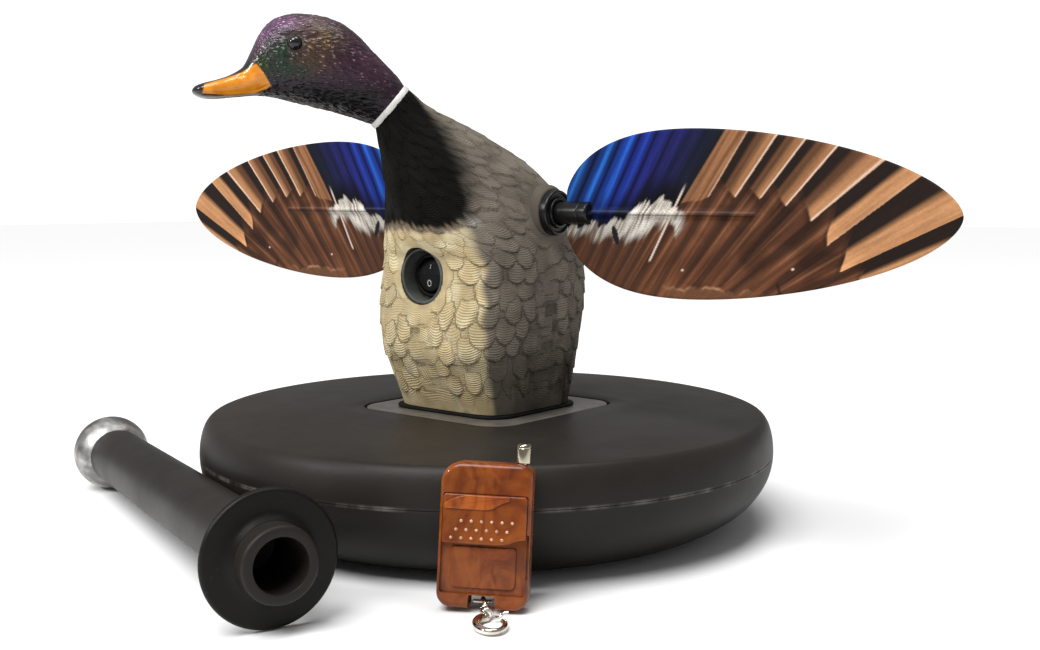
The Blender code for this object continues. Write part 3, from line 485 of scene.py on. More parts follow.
def eased(points, closed=True, steps=4):
    """Points of (x, y) or (x, y, ease): each corner with an ease is rounded over that distance."""
    found, count = [], len(points)
    for k, point in enumerate(points):
        here = np.array(point[:2], float)
        ease = point[2] if len(point) > 2 else 0.0
        inner = closed or 0 < k < count - 1
        if not ease or not inner:
            found.append(here)
            continue
        before = np.array(points[k - 1][:2], float) - here
        after = np.array(points[(k + 1) % count][:2], float) - here
        far_before, far_after = np.linalg.norm(before), np.linalg.norm(after)
        start = here + before / far_before * min(ease, far_before * 0.49)
        end = here + after / far_after * min(ease, far_after * 0.49)
        for n in range(steps + 1):
            t = n / steps
            found.append(start * (1 - t) ** 2 + here * 2 * t * (1 - t) + end * t * t)
    found = np.array(found)
    fresh = np.linalg.norm(found - np.roll(found, 1, 0), axis=1) > 1e-4
    return found[fresh] if closed else found


def lathe(name, profile, place=(0, 0, 0), turn=None, segments=96, closed=True):
    """A profile of (radius, height[, ease]) turned about its own Z axis."""
    points = eased(profile, closed)
    angles = circle(segments)
    rows = np.stack([points[:, 0, None] * np.cos(angles), points[:, 0, None] * np.sin(angles),
                     np.repeat(points[:, 1, None], segments, 1)], 2)
    flat = rows.reshape(-1, 3)
    if turn is not None:
        flat = flat @ np.asarray(turn).T
    return make_mesh(name, flat + np.asarray(place), grid_faces(len(points), segments, closed))


def toward(axis):
    """Turn that takes +Z to an axis."""
    return np.array(Vector((0, 0, 1)).rotation_difference(Vector(axis)).to_matrix())


def rod(name, radius, half, place, axis, segments):
    """A plain round bar along an axis, half its length each way, for cutting with."""
    profile = [(0.0, -half), (radius, -half), (radius, half), (0.0, half)]
    return lathe(name, profile, place, toward(axis), segments, False)


def inset(outline, distance):
    """An anticlockwise outline moved inward along its normals."""
    ahead = np.roll(outline, -1, 0) - outline
    ahead /= np.linalg.norm(ahead, axis=1)[:, None] + 1e-12
    behind = np.roll(ahead, 1, 0)
    out = np.stack([-ahead[:, 1] - behind[:, 1], ahead[:, 0] + behind[:, 0]], 1)
    out /= np.maximum(np.sum(out * out, axis=1)[:, None] / 2, 0.6)
    return outline + out * distance


def pillow(name, outline, low, high, ease_low, ease_high, place=(0, 0, 0), turn=None, steps=5):
    """A closed slab from z=low to z=high whose two rims are rounded."""
    rows = []
    for n in range(steps + 1 if ease_low else 1):
        a = math.pi / 2 * n / steps
        rows.append((ease_low * (1 - math.sin(a)), low + ease_low * (1 - math.cos(a))))
    if ease_low:
        rows.insert(0, (ease_low + 0.12, low))
    for n in range(steps + 1 if ease_high else 1):
        a = math.pi / 2 * (1 - n / steps) if ease_high else 0
        rows.append((ease_high * (1 - math.sin(a)), high - ease_high * (1 - math.cos(a))))
    if ease_high:
        rows.append((ease_high + 0.12, high))
    rings = [np.column_stack([inset(outline, d), np.full(len(outline), z)]) for d, z in rows]
    flat = np.concatenate(rings)
    if turn is not None:
        flat = flat @ np.asarray(turn).T
    return make_mesh(name, flat + np.asarray(place), capped(len(rings), len(outline)))


def rounded_box(half_x, half_y, radii, centre=(0, 0), steps=10):
    """Outline with four corner radii, anticlockwise from +X +Y."""
    if not isinstance(radii, tuple):
        radii = (radii,) * 4
    found = []
    for index, ((sx, sy), r) in enumerate(zip(((1, 1), (-1, 1), (-1, -1), (1, -1)), radii)):
        for n in range(steps + 1):
            a = math.pi / 2 * (index + n / steps)
            found.append((centre[0] + sx * (half_x - r) + r * math.cos(a),
                          centre[1] + sy * (half_y - r) + r * math.sin(a)))
    return np.array(found)


def tube(name, points, radius, closed=False, sides=16):
    """A round wire along a smooth path; radius may vary along it."""
    path = np.array(points, float)
    radius = np.broadcast_to(np.asarray(radius, float), (len(path),))
    along = np.roll(path, -1, 0) - np.roll(path, 1, 0) if closed else np.gradient(path, axis=0)
    along /= np.linalg.norm(along, axis=1)[:, None]
    side = np.cross(along, (0.0, 0.0, 1.0))
    side /= np.linalg.norm(side, axis=1)[:, None] + 1e-9
    top = np.cross(side, along)
    a = circle(sides)
    rings = (path[:, None] + side[:, None] * np.cos(a)[None, :, None] * radius[:, None, None]
             + top[:, None] * np.sin(a)[None, :, None] * radius[:, None, None])
    faces = grid_faces(len(path), sides, True) if closed else capped(len(path), sides, False)
    return make_mesh(name, rings.reshape(-1, 3), faces)


# --- Float ---

def square_reach(angle, half, corner):
    """Distance from the middle to a rounded square's edge at an angle."""
    c, s = abs(math.cos(angle)), abs(math.sin(angle))
    flat = half / max(c, s)
    x, y, inner = flat * c, flat * s, half - corner
    if x <= inner or y <= inner:
        return flat
    dot = inner * (c + s)
    return dot + math.sqrt(max(0.0, dot * dot - 2 * inner * inner + corner * corner))


def quarter(middle_r, middle_z, reach, rise, steps, down):
    a = np.linspace(0, math.pi / 2, steps + 1)
    if down:
        return np.column_stack([middle_r + reach * np.cos(a), middle_z - rise * np.sin(a)])
    return np.column_stack([middle_r + reach * np.sin(a), middle_z + rise * np.cos(a)])


def make_float():
    segments = 224
    angles = circle(segments) + math.pi / segments
    half, corner = PLATE_HALF + POCKET_GAP, PLATE_CORNER + POCKET_GAP
    square = np.array([square_reach(a, half, corner) for a in angles])
    floor, seam_up, seam_low = PLATE_TOP - PLATE_THICK - GAP, SEAM_Z + GAP / 2, SEAM_Z - GAP / 2
    under = floor - 3.0
    rim = quarter(RIM_R, seam_up, FLOAT_R - RIM_R, RIM_Z - seam_up, 16, False)
    inner = quarter(RIM_R - 3, seam_up, FLOAT_R - RIM_R, RIM_Z - seam_up - 3, 6, False)[::-1]
    rows = [(12.0, floor), (square - 0.2, floor), (square, floor + 0.3), (square, CROWN_Z - 0.9),
            (square + 0.3, CROWN_Z - 0.3), (square + 0.9, CROWN_Z)]
    rows += [(square * (1 - t) + 105.0 * t, CROWN_Z - 0.9 * t) for t in (0.3, 0.6, 0.85, 1.0)]
    rows += [(118.0, CROWN_Z - 1.25), (131.0, CROWN_Z - 1.75), (138.5, CROWN_Z - 2.1)]
    rows += [*rim, *inner, (80.0, under), (12.0, under)]
    points = np.array([np.column_stack([r * np.cos(angles), r * np.sin(angles), np.full(segments, z)])
                       for r, z in rows])
    top = make_mesh("float_top", points.reshape(-1, 3), grid_faces(len(rows), segments, True))
    settle(top, "float", "float", "float_upper_shell")

    bowl = quarter(BASE_R, seam_low, FLOAT_R - BASE_R, seam_low, 26, True)
    inside = quarter(BASE_R - 1, seam_low, FLOAT_R - BASE_R - 2, seam_low - 3, 10, True)[::-1]
    hole = SLEEVE_R + GAP
    profile = [*bowl, (hole, 0.0, 0.6), (hole, 3.0, 0.6), *inside]
    settle(lathe("float_bottom", profile, segments=segments), "float", "float", "float_lower_shell")

    sleeve = [(PEG_R + 0.4, under - GAP), (SLEEVE_R, under - GAP, 0.5), (SLEEVE_R, 1.0, 0.8),
              (SOCKET_R, 1.0, 0.8), (SOCKET_R, 27.0), (PEG_R + 0.4, 27.0, 0.4)]
    settle(lathe("keel_sleeve", sleeve), "black", "float", "keel_socket")

    plate = pillow("deck_plate_moulding", rounded_box(PLATE_HALF, PLATE_HALF, PLATE_CORNER, steps=14),
                   PLATE_TOP - PLATE_THICK, PLATE_TOP, 0.3, 0.8)
    carve(plate, rod("deck_hole", PEG_R + GAP, 15.0, (0, 0, 55.0), (0, 0, 1), 96))
    settle(plate, "deck", "float", "deck_plate")


# --- Body ---

def tilted_axes(yaw, tilt):
    y, t = math.radians(yaw), math.radians(tilt)
    normal = np.array([-math.sin(t) * math.sin(y), -math.sin(t) * math.cos(y), math.cos(t)])
    side = np.array([math.cos(y), -math.sin(y), 0.0])
    return side, np.cross(normal, side), normal


# Each section: middle x, y, z, yaw, tilt, half width, half depth, squareness
BODY_SECTIONS = [
    (0.0, -1.5, FOOT_Z, 0, 0, FOOT_X, FOOT_Y, 5.0),
    (0.0, -2.2, 68.0, 0, 0, 37.8, 37.0, 4.5),
    (0.0, -3.6, 79.0, 0, 0, 40.2, 41.0, 4.0),
    (0.0, -5.0, 92.0, 0, 0, 43.0, 45.3, 3.6),
    (0.0, -4.0, 110.0, 0, 0, 44.5, 47.5, 3.5),
    (0.0, -2.8, 126.0, 0, 1, 44.5, 47.6, 3.4),
    (0.0, -4.0, 142.0, 0, 7, 44.0, 46.8, 3.1),
    (-0.5, -11.5, 155.5, 5, 18, 42.0, 43.5, 2.8),
    (-2.0, -22.5, 168.5, 12, 30, 37.5, 37.5, 2.5),
    (-6.5, -37.5, 185.0, 24, 41, 28.0, 27.0, 2.2),
    (-11.7, -49.0, 200.5, 33, 47, 17.5, 17.2, 2.05),
]
FEATHERS_ROUND = 27
FEATHER_ROW = 9.3


def body_base(per_gap, around):
    """Smooth body rings from the foot to the neck, starting at the back, with their angles."""
    normal = tilted_axes(NECK_YAW, NECK_TILT)[2]
    end = NECK - normal * (RING_HALF + GAP)
    sections = BODY_SECTIONS + [(*end, NECK_YAW, NECK_TILT, NECK_R, NECK_R, 2.0)]
    angles = math.pi / 2 + circle(around)
    c, s = np.cos(angles), np.sin(angles)
    rings = []
    for row in catmull(sections, per_gap):
        side, back, normal = tilted_axes(row[3], row[4])
        power = 2 / row[7]
        across = np.sign(c) * np.abs(c) ** power
        along = np.sign(s) * np.abs(s) ** power
        rings.append(row[:3] + side * (row[5] * across)[:, None] + back * (row[6] * along)[:, None])
    return np.array(rings), angles


def feather_relief(a, b, strength):
    """Height, ridge phase and tone of overlapping feathers at column a and row b."""
    height, phase, tone = np.zeros_like(a), b * FEATHER_ROW * 5.0, np.zeros_like(a) + 0.5
    edge = np.zeros_like(a)
    a, b = (a + 0.30 * (value_noise(a * 0.7, b * 0.6, 83) - 0.5),
            b + 0.60 * (value_noise(a * 0.9, b * 0.5, 87) - 0.5))
    for drop in (2, 1, 0, -1):
        row = np.floor(b) + drop
        for shift in (-1, 0, 1):
            column = np.floor(a + 0.5 * (row % 2)) + shift
            r1, r2 = lattice(column % FEATHERS_ROUND, row, 3), lattice(column % FEATHERS_ROUND, row, 9)
            r3 = lattice(column % FEATHERS_ROUND, row, 17)
            middle = column + 0.5 - 0.5 * (row % 2) + (r1 - 0.5) * 0.42
            tip = row + (r2 - 0.5) * 0.55
            length = 1.28 + 0.34 * r3
            width = 0.43 + 0.11 * r1
            y = 1 - (b - tip) / length
            x = (a - middle) / width
            limit = np.sqrt(np.clip(1 - np.clip((y - 0.62) / 0.38, 0, 1) ** 2, 0, 1))
            side = np.clip(1 - np.abs(x) / np.maximum(limit, 1e-3), 0, 1)
            inside = (y > 0) & (y <= 1) & (np.abs(x) < limit)
            present = 0.06 + 0.94 * step(r2, 0.12, 0.50)
            rise = np.clip(y, 0, 1) ** 1.2 * step(side, 0.0, 0.40) * present
            rise = np.where(inside, rise, 0.0)
            over = rise > height
            height = np.where(over, rise, height)
            phase = np.where(over, (y * length * FEATHER_ROW - 1.6 * (1 - x * x)) * 5.0 + r3 * 6, phase)
            tone = np.where(over, 0.5 + (r3 - 0.5) * present, tone)
            edge = np.where(over, step(side, 0.35, 0.0) * np.clip(y, 0, 1) ** 2 * present, edge)
    return height * strength, phase, tone, edge


def body_colours(delta, v, height, tone, edge, z, seed_a, seed_b):
    """Painted zones: black neck, beige breast, grey-brown sides and back."""
    grey, brown = np.array([0.185, 0.160, 0.128]), np.array([0.070, 0.058, 0.045])
    blotch = value_noise(seed_a * 1.7, seed_b * 1.3, 5)
    side_edge = np.interp(v, [0, 3, 4.6, 6.2, 7.3, 8, 12], [44.5, 45.5, 41.5, 41, 51, 58, 60])
    wander = (value_noise(seed_a * 2.1, seed_b * 1.1, 21) - 0.5) * 5.0
    front = 1 - step(delta + wander, side_edge - 4.5, side_edge + 4.5)
    breast = blend((0.56, 0.445, 0.250), (0.70, 0.60, 0.385), step(blotch, 0.35, 0.9))
    wear_and_groove_shade = step(value_noise(seed_a * 1.2, seed_b * 0.9, 8), 0.55, 0.95)
    flank = layered(blend(grey, brown, wear_and_groove_shade * 0.55), (grey * 1.35, step(v, 5.0, 8.5) * 0.5))
    # Painted shade: darker in the low ground between feathers and along the sides of the raised feather
    # tips.
    colour = layered(blend(flank, breast, front), (0.62, np.clip(1 - height * 3.0, 0, 1) * 0.12),
                     (0.60, edge * 0.30))
    colour = colour * (0.90 + 0.2 * tone)[..., None]
    low_dark = step(z, 100, 62) * step(delta, 40, 70) * value_noise(seed_a * 3, seed_b * 0.5, 31)
    streak = step(np.abs(delta - 108), 12, 2) * step(v, 4.2, 2.0) * value_noise(seed_a * 8, seed_b, 12)
    grime = step(blotch, 0.62, 0.95) * step(z, 122, 96) * front
    black_from = np.interp(delta, [0, 12, 30, 45, 60, 76, 88, 105, 126, 146, 180],
                           [8.32, 8.25, 8.06, 7.93, 7.92, 8.15, 8.5, 9.0, 9.5, 10.1, 11.4])
    over = v + (value_noise(seed_a * 6, seed_b * 2.2, 41) - 0.5) * 0.16 - black_from
    dark = step(over / (0.13 + 0.30 * step(delta, 55, 85)), -1.0, 1.2)
    tuft = bell(delta - 63, 4.5) * bell(v - 7.78, 0.16)
    return layered(colour, (brown * 0.7, low_dark * 0.8), (brown * 0.4, streak),
                   ((0.28, 0.22, 0.13), grime * 0.55),
                   ((0.13, 0.085, 0.10), bell(over + 0.05, 0.11) * step(delta, 80, 55) * 0.7),
                   ((0.0042, 0.0037, 0.0030), dark), ((0.62, 0.60, 0.55), tuft * 0.35))


def make_body():
    base, angles = body_base(19, 330)
    count, around = base.shape[:2]
    closed = np.concatenate([base, base[:, :1]], 1)
    length = np.linalg.norm(np.diff(closed, axis=1), axis=2)
    share = (np.cumsum(length, 1) - length) / length.sum(1)[:, None]
    rise = np.concatenate([np.zeros((1, around)),
                           np.cumsum(np.linalg.norm(np.diff(base, axis=0), axis=2), 0)])
    a, b = share * FEATHERS_ROUND, rise / FEATHER_ROW
    v = np.repeat(np.linspace(0, len(BODY_SECTIONS), count)[:, None], around, 1)
    delta = np.abs((np.degrees(angles) - 270 + 180) % 360 - 180)[None, :].repeat(count, 0)
    x, y, z = base[..., 0], base[..., 1], base[..., 2]
    strength = 0.82 * step(b, 0.15, 1.3) * (1 - 0.45 * step(v, 5.8, 9.0))
    strength *= step(np.hypot(x, z - SWITCH_Z) + 60 * (y > 0), 15.5, 21.0)
    strength *= step(np.hypot(y, z - SHAFT_Z) + 60 * (np.abs(x) < 25), 14.5, 19.0)
    height, phase, tone, edge = feather_relief(a, b, strength)
    along_u = np.roll(base, -1, 1) - np.roll(base, 1, 1)
    along_v = np.gradient(base, axis=0)
    normal = np.cross(along_u, along_v)
    normal /= np.linalg.norm(normal, axis=2)[..., None]
    middle = base.mean(1, keepdims=True)
    if np.sum((base - middle) * normal) < 0:
        normal = -normal
    wave = (value_noise(a * 0.9, b * 0.8, 51) - 0.5) * 0.5 * step(b, 0.2, 2.0)
    outer = base + normal * (height + wave)[..., None]
    colour = body_colours(delta, v, height, tone, edge, z, a, b)
    ridge = np.stack([phase, np.clip(strength * (0.60 + 0.60 * step(height, 0.02, 0.25)), 0, 1)
                      * (0.6 + 0.4 * value_noise(a * 1.4, b * 1.4, 61)), tone], 2)
    picked = list(range(count - 1, -1, -10))
    inner = base[picked]
    centre = inner.mean(1, keepdims=True)
    radius = np.linalg.norm(inner - centre, axis=2)[..., None]
    inner = centre + (inner - centre) * (1 - 2.2 / radius)
    points = np.concatenate([outer.reshape(-1, 3), inner.reshape(-1, 3)])
    extra = len(points) - count * around
    paint = np.concatenate([colour.reshape(-1, 3), np.full((extra, 3), 0.05)])
    relief = np.concatenate([ridge.reshape(-1, 3), np.zeros((extra, 3))])
    skin = make_mesh("decoy_skin", points, grid_faces(count + len(picked), around, True),
                     {"paint": ("FLOAT_COLOR", paint), "relief": ("FLOAT_VECTOR", relief)}, 50, False)
    holes = [rod("switch_hole", SWITCH_R, 14.0, (0, SWITCH_FRONT, SWITCH_Z), (0, 1, 0), 72)]
    holes += [rod("bezel_hole", BEZEL_HOLE_R, 12.0, (sign * 42.0, 0, SHAFT_Z), (sign, 0, 0), 48)
              for sign in (1, -1)]
    # The hole walls are coated near black, as painted shade inside the holes.
    carve(skin, *[coat(hole, (0.05, 0.045, 0.038)) for hole in holes])
    settle(skin, "body", "decoy", "body_shell")

    for name, sign in SIDES:
        boss = [(BEZEL_HOLE_R, 43.8), (12.4, 43.9, 0.8), (14.0, 41.6, 0.8), (14.0, 37.0),
                (BEZEL_HOLE_R, 37.0)]
        piece = lathe("bezel_seat_" + name, boss, (0, 0, SHAFT_Z), toward((sign, 0, 0)), 72)
        coat(piece, (0.130, 0.112, 0.090))
        settle(piece, "body", "decoy")

    outline = rounded_box(FOOT_X + 1.8, FOOT_Y + 1.8, 14.0, (0, FOOT_MID_Y), 14)
    gasket = pillow("foot_gasket", outline, PLATE_TOP + GAP, FOOT_Z - GAP, 0.3, 0.5)
    inner_line = rounded_box(29.0, 27.0, 9.0, (0, FOOT_MID_Y), 8)
    carve(gasket, pillow("gasket_hole", inner_line, 50, 70, 0, 0))
    settle(gasket, "rubber", "decoy", "body_gasket")

    normal = tilted_axes(NECK_YAW, NECK_TILT)[2]
    band = [(9.0, 1.6), (NECK_R + 0.45, 1.6, 0.6), (NECK_R + 0.80, 0.0, 1.0), (NECK_R + 0.45, -1.6, 0.6),
            (9.0, -1.6)]
    settle(lathe("neck_band", band, NECK, toward(normal)), "white", "decoy", "neck_ring")


# --- Head ---

# Profile in the head's own upright plane: top (forward, up), bottom (forward, up), half width
HEAD_SECTIONS = [
    (-4.5, 227.7, 10.5, 204.8, 13.6), (1.4, 233.9, 14.5, 206.2, 15.2),
    (7.2, 239.6, 18.0, 207.3, 16.6), (13.0, 245.7, 22.5, 208.5, 17.6),
    (21.0, 251.9, 28.0, 210.0, 18.2), (31.0, 255.4, 34.5, 211.5, 18.4),
    (41.8, 256.4, 41.8, 213.2, 18.0), (50.0, 255.3, 48.0, 214.6, 16.8),
    (56.5, 252.0, 54.0, 216.0, 14.9), (61.5, 246.0, 59.0, 216.8, 12.6),
    (65.5, 238.0, 64.0, 216.9, 10.4), (68.5, 232.0, 68.0, 216.6, 8.9),
    (71.0, 229.2, 71.2, 216.2, 8.2), (76.5, 226.1, 76.8, 215.7, 8.3),
    (82.2, 224.1, 82.4, 215.1, 8.9), (87.8, 222.6, 88.0, 215.2, 8.6),
    (91.3, 221.3, 91.3, 216.2, 6.6), (93.0, 219.9, 93.0, 217.3, 3.6),
    (93.4, 219.0, 93.4, 218.3, 1.4),
]
HEAD_AT = np.array([-16.0, -57.0, 0.0])
EYE_FORWARD, EYE_Z, EYE_OUT, EYE_R = 45.2, 240.7, 16.0, 3.4


# Iridescent patches, the cream crown one and the pink forehead ones being painted highlights: colour,
# forward, up, half sizes, strength
HEAD_PATCHES = [
    ((0.10, 0.062, 0.030), 33.0, 242.0, 12.0, 9.0, 0.95),
    ((0.11, 0.060, 0.038), 38.0, 232.0, 10.0, 5.5, 0.75),
    ((0.095, 0.040, 0.068), 8.0, 232.0, 11.0, 13.0, 0.80),
    # Painted highlights on the crown and forehead.
    ((0.14, 0.085, 0.095), 38.0, 254.0, 14.0, 3.5, 0.80),
    ((0.26, 0.13, 0.25), 60.0, 245.5, 6.5, 6.5, 0.95),
    ((0.24, 0.12, 0.23), 52.0, 251.5, 9.0, 3.2, 0.95),
    ((0.020, 0.045, 0.024), 52.5, 238.0, 6.5, 7.5, 1.0),
    ((0.026, 0.044, 0.014), 59.5, 231.5, 4.5, 6.5, 1.0),
    ((0.015, 0.03375, 0.018), 47.0, 227.5, 10.0, 5.0, 0.9),
]


def head_colours(s, z, feathered):
    """Plumage and beak colours by place: forward s and height z."""
    colour = np.full(s.shape + (3,), (0.045, 0.020, 0.040))
    for tint, s0, z0, wide, high, strength in HEAD_PATCHES:
        wobble = (value_noise(s * 0.35 + z0, z * 0.35, 3) - 0.5) * 1.1
        near = bell(s - s0, wide) * bell(z - z0, high) * np.exp(wobble)
        colour = blend(colour, tint, np.clip(near, 0, 1) * strength)
    colour = blend(colour, (0.0045, 0.0042, 0.0048), step(z, 226.5, 216.5) * step(s, -8.0, 12.0) * 0.95)
    colour *= (0.34 + 0.66 * value_noise(s * 2.4, z * 2.4, 7))[..., None]
    rear = np.interp(z, [214.0, 217.5, 221.2, 226.1, 230.8, 233.0], [66.5, 61.5, 56.6, 59.4, 62.8, 67.5])
    bill = step(s - rear, -0.35, 0.35)
    orange = blend((0.60, 0.185, 0.005), (0.82, 0.305, 0.012), value_noise(s * 0.4, z * 0.5, 13))
    top_edge = np.interp(s, [56, 63, 70.4, 77.9, 88, 94], [239, 231.2, 227.0, 224.3, 221.0, 220.4])
    dark_top = step(z - top_edge, -0.35, 0.7)
    low_edge = np.interp(s, [56, 64, 78, 88, 94], [220.9, 217.9, 216.7, 217.2, 218.6])
    dark_low = step(low_edge - z, -0.25, 0.45)
    nail = step(s + (z - 219) * 0.25, 87.4, 88.4)
    dark = np.maximum(np.maximum(dark_top, dark_low), nail)
    gape = bell(z - low_edge - 1.25, 0.30) * step(s, 74, 60) * 0.55
    beak = layered(orange, ((0.20, 0.07, 0.01), gape), ((0.010, 0.009, 0.008), dark))
    return blend(colour, beak, bill), feathered * (1 - bill)


def make_head():
    side, back, normal = tilted_axes(NECK_YAW, NECK_TILT)
    forward = np.array([-math.sin(math.radians(NECK_YAW)), -math.cos(math.radians(NECK_YAW)), 0.0])
    start = NECK + normal * (RING_HALF + GAP)
    rows = [(*start, NECK_R, *(back * NECK_R))]
    for top_s, top_z, low_s, low_z, half in HEAD_SECTIONS:
        top = HEAD_AT + forward * top_s + np.array([0, 0, top_z])
        low = HEAD_AT + forward * low_s + np.array([0, 0, low_z])
        rows.append((*((top + low) / 2), half, *((top - low) / 2)))
    rings = catmull(rows, 12)
    around = 176
    a = circle(around) - math.pi / 2
    c, s = np.cos(a), np.sin(a)
    ahead = (rings[:, :3] - HEAD_AT) @ forward
    power = np.interp(ahead, [58, 72, 84, 94], [1.0, 0.88, 0.78, 0.85])[:, None]
    across = np.sign(c) * np.abs(c)[None] ** power
    lift = np.sign(s) * np.abs(s)[None] ** power
    points = (rings[:, None, :3] + side * (rings[:, 3, None] * across)[..., None]
              + rings[:, None, 4:7] * lift[..., None])
    along = (points - HEAD_AT) @ forward
    z = points[..., 2]
    feathered = step(along, 68.0, 60.0) * np.ones_like(along)
    paint, feathered = head_colours(along, z, feathered)
    out = points - rings[:, None, :3]
    out /= np.linalg.norm(out, axis=2)[..., None] + 1e-9
    ring_arc = np.cumsum(np.linalg.norm(points - np.roll(points, 1, 1), axis=2), 1)
    row_arc = np.concatenate([np.zeros((1, around)), np.cumsum(
        np.linalg.norm(np.diff(points, axis=0), axis=2), 0)])
    tufts = value_noise(row_arc / 2.3, ring_arc / 1.2, 77) - 0.5
    from_eye = np.hypot(along - EYE_FORWARD, z - EYE_Z)
    brow = bell(along - 44.0, 9) * bell(z - 247.5, 2.2) * 0.5
    groove = bell(from_eye, 4.6) * 0.5
    nostril = bell(along - 70.0, 1.9) * bell(z - 225.6, 0.75) * 0.55
    gape = bell(z - np.interp(along, [56, 64, 78, 88], [221.9, 218.7, 217.4, 217.6]), 0.5)
    gape = gape * step(along, 56.0, 60.0) * step(along, 90.0, 84.0) * 0.28
    calm = step(from_eye, 3.6, 6.5)
    swell = tufts * 0.55 * feathered * calm + brow - groove - nostril - gape
    points = points + out * (swell * step(row_arc, 0.5, 3.0))[..., None]
    relief = np.stack([row_arc / 1.5, ring_arc / 1.5, feathered * (0.15 + 0.85 * calm)], 2)
    head = make_mesh("decoy_head", points.reshape(-1, 3), capped(len(rings), around, False),
                     {"paint": ("FLOAT_COLOR", paint.reshape(-1, 3)),
                      "relief": ("FLOAT_VECTOR", relief.reshape(-1, 3))}, 60, False)
    sockets = []
    for name, sign in SIDES:
        spot = HEAD_AT + forward * EYE_FORWARD + side * (sign * EYE_OUT) + np.array([0, 0, EYE_Z])
        globe = [(EYE_R * math.sin(t), -EYE_R * math.cos(t)) for t in np.linspace(0, math.pi, 25)]
        eye = lathe("decoy_eye_" + name, globe, spot, toward(side), 48, False)
        settle(eye, "eye", "decoy", "eye_" + name)
        ball = [(p * 1.07, q * 1.07) for p, q in globe]
        sockets.append(lathe("socket_" + name, ball, spot, toward(side), 36, False))
    carve(head, *sockets)
    settle(head, "head", "decoy", "head")


# --- Wings ---

# Feather lines of the printed fan, each from its upper to its lower point (out along the wing, up)
FAN = np.array([
    (72.0, 30.0, 59.5, 6.5), (84.5, 33.6, 69.8, 6.4), (96.0, 35.7, 79.8, 4.9), (105.4, 37.0, 87.7, 4.1),
    (114.6, 37.5, 96.4, 5.0), (124.0, 38.0, 102.4, 2.4), (133.4, 38.6, 108.4, 0.0),
    (142.9, 38.9, 114.3, -2.7), (154.0, 37.0, 134.8, 8.2), (168.9, 35.1, 148.7, 8.2),
    (182.5, 32.6, 161.3, 7.5), (198.0, 30.1, 173.7, 3.9), (219.6, 24.1, 185.8, -2.5),
    (234.7, 17.1, 193.1, -13.1), (251.0, 0.5, 200.3, -23.6), (252.0, -14.0, 206.0, -33.0),
])
BLUE_END = 7
# Red, green and blue of the blue feathers, from the root outward
BLUES = ((0.007, 0.006, 0.008, 0.010, 0.011, 0.009, 0.005, 0.004),
         (0.030, 0.036, 0.026, 0.017, 0.012, 0.009, 0.007, 0.006),
         (0.155, 0.24, 0.26, 0.17, 0.098, 0.060, 0.022, 0.008))


def fan_place(s, h):
    """Which feather a point is on, with a fraction, and how far it is above the feathers' tips."""
    foot, top = FAN[:, 2:], FAN[:, :2]
    aim = (top - foot) / np.linalg.norm(top - foot, axis=1)[:, None]
    away = np.array([(s - p[0]) * d[1] - (h - p[1]) * d[0] for p, d in zip(foot, aim)])
    feather = np.where(away[0] < 0, np.clip(away[0] / 12.0, -2, 0), len(FAN) - 1.0)
    for k in range(len(FAN) - 1):
        here = (away[k] >= 0) & (away[k + 1] < 0)
        feather = np.where(here, k + away[k] / (away[k] - away[k + 1] + 1e-9), feather)
    beyond = away[-1] >= 0
    feather = np.where(beyond, len(FAN) - 1 + away[-1] / 12.0, feather)
    held = np.clip(feather, 0, len(FAN) - 1)
    index = np.arange(len(FAN))
    fx, fy = np.interp(held, index, foot[:, 0]), np.interp(held, index, foot[:, 1])
    dx, dy = np.interp(held, index, aim[:, 0]), np.interp(held, index, aim[:, 1])
    return feather, (s - fx) * dx + (h - fy) * dy


